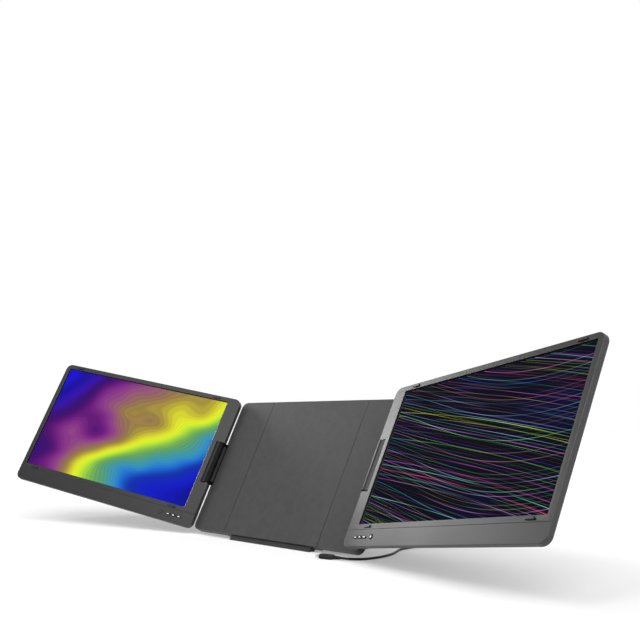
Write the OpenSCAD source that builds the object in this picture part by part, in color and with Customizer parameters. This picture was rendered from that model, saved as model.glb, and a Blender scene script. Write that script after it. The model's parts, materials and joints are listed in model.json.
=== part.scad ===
// Laptop screen extender: two display panels hinged on the sliding arms of a
// slim body that leans back on a kickstand. Millimetres, +Z up, -Y to the front.
// The origin is the centre of the base foot's flat underside.

/* [Panels] */
// Width of the display window
screen_w = 344.2; // [280:0.1:400]
// Height of the display window
screen_h = 193.6; // [160:0.1:230]
// Width of the bezel on the hinge side
bezel_hinge = 23.4; // [21:0.1:32]
// Width of the bezel on the outer side
bezel_outer = 8.4; // [8:0.1:14]
// Width of the bezel above the window
bezel_top = 7.7; // [7:0.1:14]
// Width of the bezel between the window and the chin cover
bezel_bottom = 7.3; // [7:0.1:12]
// Height of the chin cover
chin_h = 23.4; // [20:0.1:34]
// Thickness of a panel
panel_t = 10.5; // [10.5:0.1:13]
// Depth of the display glass behind the front face
recess = 2.6; // [2:0.1:3]
// Radius of the panel corners, seen from the front
corner_r = 11; // [8:0.5:14]
// Wall of the plastic housings
wall = 1.5; // [1.2:0.1:1.8]
// Height of the rubber bumpers on the panel fronts
bumper_h = 1.5; // [0.8:0.1:1.8]

/* [Hinges] */
// Distance from a panel's hinge-side edge to its hinge axis
axis_inset = 6; // [5.5:0.1:6.2]
// Depth of the hinge axis behind the panel front
axis_depth = 5; // [4.8:0.1:5.4]
// Radius of the hinge barrel
barrel_r = 7.8; // [7:0.1:9]
// Length of the hinge barrel
barrel_len = 73; // [50:1:90]
// Free space between the barrel and the notch in the panel
notch_gap = 1.2; // [1:0.1:3]
// Radius of the hinge pin
pin_r = 2; // [1.5:0.1:2.2]
// How far the left hinge axis stands in front of the body
left_axis_y = 7.5; // [7.3:0.1:12]
// How much further forward the right hinge axis stands than the left
hinge_step = 18.1; // [15:0.1:24]
// Forward swing of the left panel from flat
swing_left = 24.7; // [0:0.1:60]
// Forward swing of the right panel from flat
swing_right = 15.8; // [0:0.1:60]

/* [Body] */
// Backward lean of the body
lean_deg = 26.9; // [15:0.1:35]
// Width of the body between the arms
core_w = 210; // [180:1:240]
// Thickness of the body between the arms
core_t = 14; // [13.5:0.1:17]
// Thickness of the back cover of the body
core_back_t = 3; // [2.4:0.1:3.4]
// Height of the body's lower edge above the panels' lower edge
core_lift = 3; // [2:0.5:8]
// Height of the arms' lower edge above the panels' lower edge
arm_low = 3.3; // [2:0.1:6]
// Gap between the body and an arm that is pushed in
arm_gap = 0.8; // [0.4:0.1:3]
// Thickness of an arm
arm_t = 10.7; // [10.5:0.1:12.5]
// Thickness of the back cover of an arm
arm_back_t = 1.8; // [1.2:0.1:2.2]
// Free space between the left panel's outer edge and the right hinge when it is folded in
closing_gap = 1.2; // [0.8:0.1:4]
// Distance from an arm's outer edge to its hinge axis
arm_edge_gap = 4.1; // [3.6:0.1:6]
// Height of a slide bar
bar_h = 36; // [24:1:44]
// Thickness of a slide bar
bar_t = 3.2; // [2.5:0.1:3.4]
// Distance from the arms' upper and lower edges to the middle of a slide bar
bar_edge = 56; // [40:1:70]
// Width of the rubber foot under the body
foot_w = 180; // [100:1:200]
// Thickness of the rubber pads that hold the laptop's lid
pad_t = 1.2; // [0.8:0.1:2]

/* [Kickstand] */
// Height of the kickstand hinge on the body
pivot_h = 132; // [110:1:150]
// Angle between the kickstand and the body
stand_deg = 49; // [40:0.5:62]
// Width of the kickstand
stand_w = 150; // [120:1:180]
// Thickness of the kickstand
stand_t = 3; // [2.5:0.1:3.6]
// Radius of the kickstand's rubber foot
stand_foot_r = 3; // [2.5:0.1:3.4]

/* [Lead] */
// Diameter of the lead
lead_d = 3.4; // [3:0.1:4]
// Width of a plug
plug_w = 12; // [10.5:0.1:13]
// Thickness of a plug
plug_t = 6.6; // [6:0.1:7]
// Length of a plug
plug_len = 21; // [18:0.5:26]

/* [Hidden] */
$fn = 48;

// Overall sizes
panel_w = bezel_hinge + screen_w + bezel_outer;
panel_h = chin_h + bezel_bottom + screen_h + bezel_top;
mid_z = panel_h / 2;
right_axis_y = left_axis_y + hinge_step;
axis_x = (panel_w - axis_inset + barrel_r + closing_gap) / 2;

// Side profile of a panel: flat, then two slopes to the back face
side_flat = 7;
knee_y = 9.2;
knee_in = 1.6;
back_in = 4.6;
// Depth of the flat part of the hinge-side edge, where a single chamfer starts
hinge_flat = 9;
// Depth of the seam between a panel's front frame and its back cover
split_y = 7.6;
inner_y = panel_t - wall;

// Pieces inside a panel
glass_lap = 3;
glass_t = 1.4;
light_t = 2.2;
lip_w = 4;
board_y = 6.9;
board_t = 1.2;
board_w = 150;
board_h = 42;
button_board_y = 5.6;
notch_d = axis_inset + barrel_r + notch_gap;
notch_h = barrel_len + 2 * 1;
leaf_len = 20;
leaf_t = 1.2;
leaf_y = 6.2;
leaf_reach = 12.5;
boss_gap = 13;
knuckle_r = pin_r + 0.9;
running_gap = 0.05;
pin_len = notch_h + 2 * (wall + leaf_len) + 1;
bush_r = 4.5;
bush_len = 12;

// Buttons, as distances from the hinge-side edge, and their clearances
button_x = [27, 37.5, 48];
power_x = 63.4;
button_z = chin_h / 2 + 1;
button_w = 8.6;
button_h = 3.6;
power_r = 3.4;
button_gap = 0.25;
button_proud = 0.8;
flange = 0.9;
switch_t = 0.8;
seam_gap = 0.3;

// Bumpers
bumper_w = 14;
bumper_th = 3;
bumper_x = [47.3, panel_w - 30.8];
bumper_z = [chin_h + bezel_bottom / 2, panel_h - bezel_top / 2 - 0.4];

// Arms and slide bars
arm_x0 = core_w / 2 + arm_gap;
arm_x1 = axis_x - arm_edge_gap;
arm_split = arm_t - arm_back_t;
arm_wall = 1.6;
bar_z = [bar_edge, panel_h - bar_edge];
bar_y = 3.4;
bar_x0 = 20;
bar_x1 = arm_x0 + 38;
bar_gap = 0.15;
foot_plate_t = 3;
foot_plate_w = 32;
block_clear = 0.2;
web_out = 0.5;
pad_proud = 0.4;
pad_edge = 1.5;
slot_clear = 0.25;

// Body between the arms
core_wall = 1.8;
core_split = core_t - core_back_t;
guide_wall = 2;
floor_gap = 1.5;
lift = arm_t * sin(lean_deg) + floor_gap;
foot_y0 = 4;
foot_z0 = (foot_y0 * sin(lean_deg) - lift) / cos(lean_deg);
foot_z1 = (core_t * sin(lean_deg) - lift) / cos(lean_deg);
foot_front = foot_y0 * cos(lean_deg) + foot_z0 * sin(lean_deg);
foot_rear = core_t * cos(lean_deg) + foot_z1 * sin(lean_deg);
shift_y = -(foot_front + foot_rear) / 2;

// Kickstand
ear_r = 4.2;
pivot_y = core_t + ear_r;
pivot_floor = lift + pivot_h * cos(lean_deg) - pivot_y * sin(lean_deg);
stand_len = (pivot_floor - stand_foot_r) / cos(stand_deg - lean_deg);
stand_pin_r = 2;
ear_t = 4;
knuckle_len = 22;
knuckle_x = stand_w / 2 - 20;

// Socket in an arm and the plugs of the lead
port_x = arm_x0 + 12;
port_z = 24;
port_w = 8.9;
port_t = 3.2;
port_deep = 7;
tip_w = 8.3;
tip_t = 2.5;
tip_len = 6.5;
relief_len = 9;
relief_r0 = 2.6;

// Route of the lead on the table, from its free plug to the arm, [x, y, z]
lead_z = lead_d / 2;
plug_end = [165, -28.7, 3.3];
lead_points = [
    [178.6, -25.4, 3.3], [184.4, -21.2, 2.9], [188.2, -15, 2.5], [190.4, -7, 2],
    [191.8, 2, lead_z], [192.4, 12, lead_z], [192, 22, lead_z], [190.6, 32, lead_z],
    [188.2, 43, lead_z], [184.8, 54.5, lead_z], [179.9, 66.5, lead_z],
    [173.4, 78.5, lead_z], [166, 90.5, lead_z], [158.5, 103.5, lead_z],
    [152.5, 118, lead_z], [149.5, 133, lead_z], [148, 149, lead_z],
    [143, 164.8, lead_z], [132.5, 174.7, lead_z], [118.5, 175.7, lead_z],
    [106.8, 168, lead_z], [101, 154.5, lead_z], [99, 140, lead_z], [101, 125, lead_z],
    [105.5, 109.5, lead_z], [111, 94, lead_z], [115.7, 78, lead_z], [117.8, 64, 2.1],
    [117.8, 52, 4]
];

// Colours
grey_front = "#5b5c5e";
grey_back = "#3c3d3f";
near_black = "#1d1e20";
steel = "#a8abb0";
board_green = "#1f5a3a";

// ---- Helpers ----

// Extrudes an outline drawn in X and Z from depth y0 to y1
module depth(y0, y1) {
    translate([0, y1, 0]) rotate([90, 0, 0]) linear_extrude(y1 - y0) children();
}

// Flat block with round ends, centred on [x, z], from depth y0 to y1
module pill(x, z, w, h, y0, y1) {
    depth(y0, y1) translate([x, z]) {
        square([w - h, h], center = true);
        for (s = [-1, 1]) translate([s * (w - h) / 2, 0]) circle(h / 2);
    }
}

// Cylinder along Y from depth y0 to y1
module post(x, z, r, y0, y1) {
    translate([x, y0, z]) rotate([-90, 0, 0]) cylinder(r = r, h = y1 - y0);
}

// Leans the body back and sets its foot on the table
module lean() {
    translate([0, shift_y, lift]) rotate([-lean_deg, 0, 0]) children();
}

// Puts a piece of the right side on either side of the body
module on_side(side) {
    lean() {
        if (side > 0) children();
        else mirror([1, 0, 0]) children();
    }
}

// Puts a piece drawn in a panel's own frame on the left or the right panel
module on_panel(side) {
    swing = side > 0 ? swing_right : swing_left;
    axis_y = side > 0 ? right_axis_y : left_axis_y;
    on_side(side) translate([axis_x, -axis_y, 0]) rotate([0, 0, -swing])
        translate([-axis_inset, -axis_depth, 0]) children();
}

// ---- Panel pieces, in a panel's own frame ----
// X runs from the hinge-side edge outwards, Y from the front face backwards

// Side profile at an edge, as distances from the edge and depths, drawn in by e
function flank(e) = [
    [e, -5], [e, side_flat - 0.4 * e], [knee_in + 0.8 * e, knee_y - 0.6 * e],
    [back_in + 0.5 * e, panel_t - e]
];

// Side profile at the hinge-side edge
function hinge_flank(e) = [
    [e, -5], [e, hinge_flat - 0.4 * e], [panel_t - hinge_flat + 0.4 * e, panel_t - e]
];

// Cross-section of a panel from an edge with flank a to the opposite edge with flank b
function profile(size, a, b) =
    concat(a, [for (i = [len(b) - 1:-1:0]) [size - b[i][0], b[i][1]]]);

// Rounded corner of a panel, a flank turned about the middle of the corner's arc
module corner_block(edge) {
    arc = [for (p = edge) [corner_r - p[0], p[1]]];
    rotate([-90, 0, 0]) rotate_extrude()
        polygon(concat([[0, -5]], arc, [[0, edge[len(edge) - 1][1]]]));
}

// Solid outer shape, drawn in by e, from depth y0 to y1
module panel_block(e, y0, y1) {
    r = corner_r;
    upright = [for (p = profile(panel_h, flank(e), flank(e))) [p[1], p[0]]];
    intersection() {
        union() {
            translate([0, 0, r]) linear_extrude(panel_h - 2 * r)
                polygon(profile(panel_w, hinge_flank(e), flank(e)));
            translate([r, 0, 0]) rotate([90, 0, 90]) linear_extrude(panel_w - 2 * r)
                polygon(upright);
            for (z = [r, panel_h - r]) {
                translate([panel_w - r, 0, z]) corner_block(flank(e));
                intersection() {
                    translate([r, 0, z]) corner_block(hinge_flank(e));
                    rotate([90, 0, 90]) linear_extrude(r) polygon(upright);
                }
            }
        }
        translate([-1, y0, -1]) cube([panel_w + 2, y1 - y0, panel_h + 2]);
    }
}

// Notch for the hinge barrel, enlarged by e
module notch(e) {
    translate([-20, -10, mid_z - notch_h / 2 - e])
        cube([notch_d + 20 + e, panel_t + 20, notch_h + 2 * e]);
}

// Hollow inside the housing
module hollow() {
    difference() {
        panel_block(wall, wall, inner_y);
        notch(wall);
    }
}

module window_slab(grow, y0, y1) {
    depth(y0, y1) translate([bezel_hinge - grow, chin_h + bezel_bottom - grow])
        square([screen_w + 2 * grow, screen_h + 2 * grow]);
}

// Middles of the two hinge leaves
leaf_z = [mid_z - notch_h / 2 - wall - leaf_len / 2, mid_z + notch_h / 2 + wall + leaf_len / 2];
leaf_screw_x = axis_inset + leaf_reach - 3.8;
leaf_screw_dz = leaf_len / 2 - 4;
side_bosses = [[14, leaf_z[0] - leaf_len / 2 - boss_gap], [14, panel_h - 14]];
chin_bosses = [[90, 9], [panel_w / 2, 9], [panel_w - 34, 9]];
back_screws = concat(side_bosses, chin_bosses);
driver_posts = [for (x = [-1, 1], z = [-1, 1])
    [panel_w / 2 + x * (board_w / 2 - 6), chin_h + bezel_bottom + 30 + z * (board_h / 2 - 6)]];
button_posts = [for (x = [17, 74]) [x, button_z]];

module front_frame(side) color(grey_front) on_panel(side) {
    difference() {
        union() {
            difference() {
                panel_block(0, 0, split_y);
                hollow();
                notch(0);
            }
            intersection() {
                window_slab(lip_w, wall - 0.1, recess);
                panel_block(wall / 2, 0, split_y);
            }
            for (z = leaf_z, s = [-1, 1])
                post(leaf_screw_x, z + s * leaf_screw_dz, 2.4, wall - 0.1, leaf_y);
            for (p = side_bosses) post(p[0], p[1], 2.4, wall - 0.1, split_y);
            for (p = chin_bosses) {
                post(p[0], p[1], 2.4, wall, split_y);
                translate([p[0] - 0.8, wall, wall - 0.1])
                    cube([1.6, side_flat - wall - 0.6, p[1] - wall]);
            }
        }
        window_slab(0, -1, split_y);
        translate([-1, -1, -1]) cube([panel_w + 2, wall + 1, chin_h + 1]);
        for (z = leaf_z, s = [-1, 1])
            post(leaf_screw_x, z + s * leaf_screw_dz, 0.9, wall + 1, leaf_y + 1);
        translate([axis_inset, axis_depth, mid_z - notch_h / 2 - wall - 1])
            cylinder(r = pin_r + 0.3, h = notch_h + 2 * wall + 2);
        for (x = bumper_x, z = bumper_z)
            pill(x, z, bumper_w - 2 + 0.2, bumper_th - 1 + 0.2, -1, 0.9);
        for (p = back_screws) post(p[0], p[1], 1.1, wall + 1.5, split_y + 1);
    }
}

module chin_cover(side) color(grey_front) on_panel(side) {
    difference() {
        intersection() {
            panel_block(0, 0, wall);
            translate([0, -1, 0]) cube([panel_w, wall + 2, chin_h - seam_gap]);
        }
        for (x = button_x)
            pill(x, button_z, button_w + 2 * button_gap, button_h + 2 * button_gap, -1, wall + 1);
        post(power_x, button_z, power_r + button_gap, -1, wall + 1);
    }
}

module back_cover(side) color(grey_back) on_panel(side) {
    difference() {
        union() {
            difference() {
                panel_block(0, split_y, panel_t);
                hollow();
                notch(0);
            }
            for (p = driver_posts) post(p[0], p[1], 2.5, board_y + board_t, inner_y + 0.2);
            for (p = button_posts)
                post(p[0], p[1], 2.2, button_board_y + board_t, inner_y + 0.2);
        }
        for (p = back_screws) post(p[0], p[1], 1.2, split_y - 1, panel_t + 1);
        for (p = back_screws) post(p[0], p[1], 2.3, panel_t - 0.9, panel_t + 1);
    }
}

module lcd_glass(side) color(near_black) on_panel(side)
    window_slab(glass_lap, recess, recess + glass_t);

module backlight(side) color(steel) on_panel(side)
    window_slab(glass_lap, recess + glass_t, recess + glass_t + light_t);

module driver_board(side) color(board_green) on_panel(side) {
    x0 = panel_w / 2 - board_w / 2;
    z0 = chin_h + bezel_bottom + 30 - board_h / 2;
    depth(board_y, board_y + board_t) translate([x0, z0]) square([board_w, board_h]);
    for (i = [0:3]) translate([x0 + 22 + 30 * i, board_y + board_t, z0 + 12])
        cube([14, 0.7, 16]);
}

module button_board(side) color(board_green) on_panel(side) {
    depth(button_board_y, button_board_y + board_t)
        translate([13, button_z - 5]) square([66, 10]);
    for (x = concat(button_x, [power_x]))
        translate([x - 2, button_board_y - switch_t, button_z - 2]) cube([4, switch_t, 4]);
}

// Push button: cap through the chin cover, flange behind it and stem to its switch
module push_button(side, x, round_cap) color(steel) on_panel(side) {
    stem_end = button_board_y - switch_t - 0.6;
    if (round_cap) {
        post(x, button_z, power_r, -button_proud, wall + 0.2);
        post(x, button_z, power_r + flange, wall + 0.15, wall + 0.95);
    }
    else {
        pill(x, button_z, button_w, button_h, -button_proud, wall + 0.2);
        pill(x, button_z, button_w + flange, button_h + 2 * flange, wall + 0.15, wall + 0.95);
    }
    post(x, button_z, 1.2, wall + 0.9, stem_end);
}

module bumpers(side) color(near_black) on_panel(side)
    for (x = bumper_x, z = bumper_z) {
        pill(x, z, bumper_w, bumper_th, -bumper_h, 0);
        pill(x, z, bumper_w - 2, bumper_th - 1, -0.1, 0.8);
    }

// Back cover screws, and the screws that hold the hinge leaves
module panel_screws(side) color(steel) on_panel(side) {
    for (p = back_screws) {
        post(p[0], p[1], 2.1, panel_t - 0.9, panel_t - 0.1);
        post(p[0], p[1], 1, wall + 2, panel_t - 0.85);
    }
    for (z = leaf_z, s = [-1, 1]) {
        post(leaf_screw_x, z + s * leaf_screw_dz, 1.8, leaf_y + leaf_t, leaf_y + leaf_t + 0.9);
        post(leaf_screw_x, z + s * leaf_screw_dz, 0.85, wall + 1.2, leaf_y + leaf_t + 0.1);
    }
}

// Steel leaf and knuckle on the pin, above and below the notch
module hinge_leaves(side) color(steel) on_panel(side)
    for (z = leaf_z) difference() {
        union() {
            translate([axis_inset, axis_depth, z - leaf_len / 2])
                cylinder(r = knuckle_r, h = leaf_len);
            translate([axis_inset, leaf_y, z - leaf_len / 2])
                cube([leaf_reach, leaf_t, leaf_len]);
        }
        translate([axis_inset, axis_depth, z - leaf_len / 2 - 1])
            cylinder(r = pin_r + 0.02, h = leaf_len + 2);
        for (s = [-1, 1]) post(leaf_screw_x, z + s * leaf_screw_dz, 1, leaf_y - 1, leaf_y + 3);
    }

module hinge_pin(side) color(steel) on_panel(side)
    translate([axis_inset, axis_depth, mid_z - pin_len / 2]) cylinder(r = pin_r, h = pin_len);

// ---- Arm pieces, drawn for the right side ----

// Arm outline in X and Z, with the two outer corners rounded
module arm_outline(e) {
    r = corner_r - e;
    x0 = arm_x0 + e;
    x1 = arm_x1 - e;
    z0 = arm_low + e;
    z1 = panel_h - e;
    translate([x0, z0]) square([x1 - x0 - r, z1 - z0]);
    translate([x0, z0 + r]) square([x1 - x0, z1 - z0 - 2 * r]);
    for (z = [z0 + r, z1 - r]) translate([x1 - r, z]) circle(r);
}

arm_posts = [for (x = [arm_x0 + 8, arm_x1 - 12], z = [arm_low + 11, panel_h - 11]) [x, z]];
pad_x = [arm_x0 + 6, arm_x0 + 26];
pad_w = 10;

module arm_front(side) color(grey_back) on_side(side) {
    difference() {
        union() {
            difference() {
                depth(0, arm_split) arm_outline(0);
                depth(arm_wall, arm_split + 1) arm_outline(arm_wall);
            }
            for (x = pad_x, z = bar_z)
                translate([x, arm_wall - 0.1, z - bar_h / 2 + 3])
                    cube([pad_w, bar_y - arm_wall + 0.1, bar_h - 6]);
            for (p = arm_posts) post(p[0], p[1], 3, arm_wall - 0.1, arm_split);
        }
        translate([axis_x - barrel_r - block_clear, -1, mid_z - barrel_len / 2 - block_clear])
            cube([20, arm_t + 2, barrel_len + 2 * block_clear]);
        for (z = bar_z)
            translate([arm_x0 - 1, bar_y - slot_clear, z - bar_h / 2 - slot_clear])
                cube([arm_wall + 2, bar_t + 2 * slot_clear, bar_h + 2 * slot_clear]);
        for (p = arm_posts) post(p[0], p[1], 1, 4, arm_split + 1);
    }
}

module arm_back(side) color(grey_back) on_side(side) {
    difference() {
        depth(arm_split, arm_t) arm_outline(0);
        for (p = arm_posts) {
            post(p[0], p[1], 1.2, arm_split - 1, arm_t + 1);
            post(p[0], p[1], 2.3, arm_t - 1, arm_t + 1);
        }
        pill(port_x, port_z, port_w + 1.5 + 0.2, port_t + 1.5 + 0.2, arm_split - 1, arm_t + 1);
    }
}

module arm_screws(side) color(steel) on_side(side)
    for (p = arm_posts) {
        post(p[0], p[1], 2.1, arm_t - 1, arm_t - 0.1);
        post(p[0], p[1], 0.95, 4.2, arm_t - 0.95);
    }

// Pocket for the grip pad in the inboard face of a hinge web, with the pad grown by e
module pad_slab(axis_y, x0, x1, e) {
    translate([x0, -axis_y + pad_edge - e, mid_z - barrel_len / 2 + 5 - e])
        cube([x1 - x0, axis_y - 2 * pad_edge + 2 * e, barrel_len - 10 + 2 * e]);
}

// Barrel on a web whose root and foot plate are held inside the arm
module hinge_block(side) color(grey_back) {
    axis_y = side > 0 ? right_axis_y : left_axis_y;
    web_x = axis_x - barrel_r;
    z0 = mid_z - barrel_len / 2;
    on_side(side) difference() {
        union() {
            translate([axis_x, -axis_y, z0]) cylinder(r = barrel_r, h = barrel_len);
            translate([web_x, -axis_y, z0]) cube([barrel_r + web_out, axis_y, barrel_len]);
            translate([web_x, -0.1, z0])
                cube([barrel_r - arm_edge_gap, arm_split + 0.1, barrel_len]);
            translate([axis_x - foot_plate_w, arm_wall, z0])
                cube([foot_plate_w - arm_edge_gap, foot_plate_t, barrel_len]);
        }
        translate([axis_x, -axis_y, z0 - 1])
            cylinder(r = pin_r + running_gap, h = barrel_len + 2);
        for (s = [-1, 1])
            translate([axis_x, -axis_y, mid_z + s * (barrel_len - bush_len + 1) / 2])
                cylinder(r = bush_r, h = bush_len + 1, center = true);
        pad_slab(axis_y, web_x - 1, web_x + pad_t - pad_proud, 0.05);
    }
}

module grip_pad(side) color(near_black) {
    axis_y = side > 0 ? right_axis_y : left_axis_y;
    web_x = axis_x - barrel_r;
    on_side(side) pad_slab(axis_y, web_x - pad_proud, web_x + pad_t - pad_proud, 0);
}

module hinge_bushes(side) color("#b08d57") {
    axis_y = side > 0 ? right_axis_y : left_axis_y;
    on_side(side) for (s = [-1, 1])
        translate([axis_x, -axis_y, mid_z + s * (barrel_len - bush_len) / 2]) difference() {
            cylinder(r = bush_r - 0.02, h = bush_len, center = true);
            cylinder(r = pin_r + running_gap, h = bush_len + 2, center = true);
        }
}

module slide_bars(side) color(steel) on_side(side)
    for (z = bar_z) translate([bar_x0, bar_y, z - bar_h / 2])
        cube([bar_x1 - bar_x0, bar_t, bar_h]);

// Metal shell of the socket in the arm's back cover
module port(side) color(steel) on_side(side) difference() {
    pill(port_x, port_z, port_w + 1.5, port_t + 1.5, arm_t - port_deep, arm_t - 0.2);
    pill(port_x, port_z, port_w, port_t, arm_t - port_deep + 0.5, arm_t + 1);
}

// ---- Body pieces between the arms ----

core_z0 = core_lift;
core_posts = [for (x = [-1, 0, 1], z = [core_z0 + 10, panel_h - 10])
    [x * (core_w / 2 - 10), z]];

module core_outline(e) {
    translate([-core_w / 2 + e, core_z0 + e])
        square([core_w - 2 * e, panel_h - core_z0 - 2 * e]);
}

module core_front() color(grey_back) lean() difference() {
    union() {
        difference() {
            depth(0, core_split) core_outline(0);
            depth(core_wall, core_split + 1) core_outline(core_wall);
        }
        for (p = core_posts) post(p[0], p[1], 3, core_wall - 0.1, core_split);
    }
    for (z = bar_z)
        translate([-core_w / 2 - 1, bar_y - slot_clear, z - bar_h / 2 - slot_clear])
            cube([core_w + 2, bar_t + 2 * slot_clear, bar_h + 2 * slot_clear]);
    for (p = core_posts) post(p[0], p[1], 1, 5, core_split + 1);
}

module core_back() color(grey_back) lean() difference() {
    depth(core_split, core_t) core_outline(0);
    for (p = core_posts) {
        post(p[0], p[1], 1.2, core_split - 1, core_t + 1);
        post(p[0], p[1], 2.3, core_t - 1, core_t + 1);
    }
}

module core_screws() color(steel) lean()
    for (p = core_posts) {
        post(p[0], p[1], 2.1, core_t - 1, core_t - 0.1);
        post(p[0], p[1], 0.95, 5.2, core_t - 0.95);
    }

// Plastic sleeves that the slide bars run in
module slide_guides() color(near_black) lean()
    for (z = bar_z) difference() {
        translate([-core_w / 2 + core_wall, core_wall, z - bar_h / 2 - guide_wall])
            cube([core_w - 2 * core_wall, bar_y + bar_t + 1.4 - core_wall, bar_h + 2 * guide_wall]);
        translate([-core_w, bar_y - bar_gap, z - bar_h / 2 - bar_gap])
            cube([2 * core_w, bar_t + 2 * bar_gap, bar_h + 2 * bar_gap]);
    }

// Wedge of rubber, flat on the table
module base_foot() color(near_black) lean()
    translate([-foot_w / 2, 0, 0]) rotate([90, 0, 90]) linear_extrude(foot_w)
        polygon([[foot_y0, foot_z0], [core_t, foot_z1], [core_t, core_z0], [foot_y0, core_z0]]);

// ---- Kickstand ----

// Puts a piece drawn hanging straight down from the kickstand's pivot at its open angle
module on_stand() {
    lean() translate([0, pivot_y, pivot_h]) rotate([stand_deg, 0, 0]) children();
}

module stand_brackets() color(grey_back) lean()
    for (s = [-1, 1]) translate([s * knuckle_x, 0, 0]) difference() {
        union() {
            translate([-knuckle_len / 2 - ear_t - 0.3, core_t, pivot_h - 9])
                cube([knuckle_len + 2 * ear_t + 0.6, 1.2, 18]);
            for (e = [-1, 1]) translate([e * (knuckle_len / 2 + ear_t / 2 + 0.3), 0, 0]) {
                translate([-ear_t / 2, pivot_y, pivot_h]) rotate([0, 90, 0])
                    cylinder(r = ear_r, h = ear_t);
                translate([-ear_t / 2, core_t, pivot_h - ear_r])
                    cube([ear_t, pivot_y - core_t, 2 * ear_r]);
            }
        }
        translate([-knuckle_len, pivot_y, pivot_h]) rotate([0, 90, 0])
            cylinder(r = stand_pin_r + 0.02, h = 2 * knuckle_len);
        translate([-knuckle_len / 2 - 0.3, core_t, pivot_h - ear_r - 1])
            cube([knuckle_len + 0.6, 1.5, 2 * ear_r + 2]);
    }

module stand_pins() color(steel) lean()
    for (s = [-1, 1])
        translate([s * knuckle_x - knuckle_len / 2 - ear_t, pivot_y, pivot_h])
            rotate([0, 90, 0]) cylinder(r = stand_pin_r, h = knuckle_len + 2 * ear_t);

module stand_leg() color(grey_back) on_stand() difference() {
    union() {
        translate([0, -stand_t / 2, 0]) depth(0, stand_t)
            translate([-stand_w / 2, -stand_len]) square([stand_w, stand_len - ear_r - 1.5]);
        for (s = [-1, 1]) translate([s * knuckle_x - knuckle_len / 2, 0, 0]) {
            rotate([0, 90, 0]) cylinder(r = ear_r - 0.3, h = knuckle_len);
            translate([0, -stand_t / 2, -ear_r - 3]) cube([knuckle_len, stand_t, ear_r + 3]);
        }
    }
    translate([-stand_w, 0, 0]) rotate([0, 90, 0])
        cylinder(r = stand_pin_r + running_gap, h = 2 * stand_w);
    translate([-stand_w / 2 + 10, 0, -stand_len]) rotate([0, 90, 0])
        cylinder(r = stand_foot_r, h = stand_w - 20);
}

module stand_foot() color(near_black) on_stand()
    translate([-stand_w / 2 + 10, 0, -stand_len]) rotate([0, 90, 0])
        cylinder(r = stand_foot_r, h = stand_w - 20);

// ---- Lead ----

// Frame of the plug in the right arm's socket: Y runs out of the socket
module at_port() {
    on_side(1) translate([port_x, arm_t, port_z]) children();
}

// Frame of the free plug: Y runs from its tip end towards the lead
module at_free_plug() {
    next = lead_points[0];
    turn = atan2(next[1] - plug_end[1], next[0] - plug_end[0]);
    translate(plug_end) rotate([0, 0, turn - 90]) translate([0, -plug_len, 0]) children();
}

module plug_body() pill(0, 0, plug_w, plug_t, 0, plug_len);

module laptop_plug() color(near_black) at_free_plug() plug_body();

module arm_plug() color(near_black) at_port() translate([0, 0.3, 0]) plug_body();

module plug_tips() color(steel) {
    at_free_plug() pill(0, 0, tip_w, tip_t, -tip_len, 0);
    at_port() translate([0, 0.3, 0]) pill(0, 0, tip_w, tip_t, -tip_len, 0);
}

module relief() {
    translate([0, plug_len, 0]) rotate([-90, 0, 0])
        cylinder(r1 = relief_r0, r2 = lead_d / 2 + 0.3, h = relief_len);
}

module lead_reliefs() color(near_black) {
    at_free_plug() relief();
    at_port() translate([0, 0.3, 0]) relief();
}

// Ends of the two strain reliefs, where the lead starts and stops
free_dir = lead_points[0] - plug_end;
free_flat = [free_dir[0], free_dir[1], 0] / norm([free_dir[0], free_dir[1]]);
lead_start = plug_end + relief_len * free_flat;
port_y = arm_t + 0.3 + plug_len + relief_len;
lead_stop = [
    port_x,
    shift_y + port_y * cos(lean_deg) + port_z * sin(lean_deg),
    lift + port_z * cos(lean_deg) - port_y * sin(lean_deg)
];

// Catmull-Rom point between b and c
function blend(a, b, c, d, t) =
    0.5 * (2 * b + (c - a) * t + (2 * a - 5 * b + 4 * c - d) * t * t
        + (3 * b - a - 3 * c + d) * t * t * t);
lead_nodes = concat([lead_start], lead_points, [lead_stop]);
lead_last = len(lead_nodes) - 1;
lead_steps = 2;
lead_line = [for (i = [0:lead_last - 1], k = [0:lead_steps - 1])
    blend(lead_nodes[max(i - 1, 0)], lead_nodes[i], lead_nodes[i + 1],
        lead_nodes[min(i + 2, lead_last)], k / lead_steps)];
lead_path = concat(lead_line, [lead_stop]);
lead_sides = 8;

function unit(v) = v / norm(v);
function heading(path, i) =
    i == 0 ? free_flat
    : i == len(path) - 1 ? [0, -cos(lean_deg), sin(lean_deg)]
    : unit(path[i + 1] - path[i - 1]);
function ring(path, i) =
    let (d = heading(path, i), s = unit(cross(d, [0, 0, 1])), u = cross(s, d))
    [for (k = [0:lead_sides - 1]) let (a = 360 * (k + 0.5) / lead_sides)
        path[i] + lead_d / 2 * (cos(a) * s + sin(a) * u)];

module lead() color(near_black) {
    n = len(lead_path);
    last = (n - 1) * lead_sides;
    polyhedron(
        points = [for (i = [0:n - 1]) each ring(lead_path, i)],
        faces = concat(
            [[for (k = [0:lead_sides - 1]) k]],
            [for (i = [0:n - 2], k = [0:lead_sides - 1])
                let (a = i * lead_sides, b = (k + 1) % lead_sides)
                [a + k, a + lead_sides + k, a + lead_sides + b, a + b]],
            [[for (k = [lead_sides - 1:-1:0]) last + k]]
        )
    );
}

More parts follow.
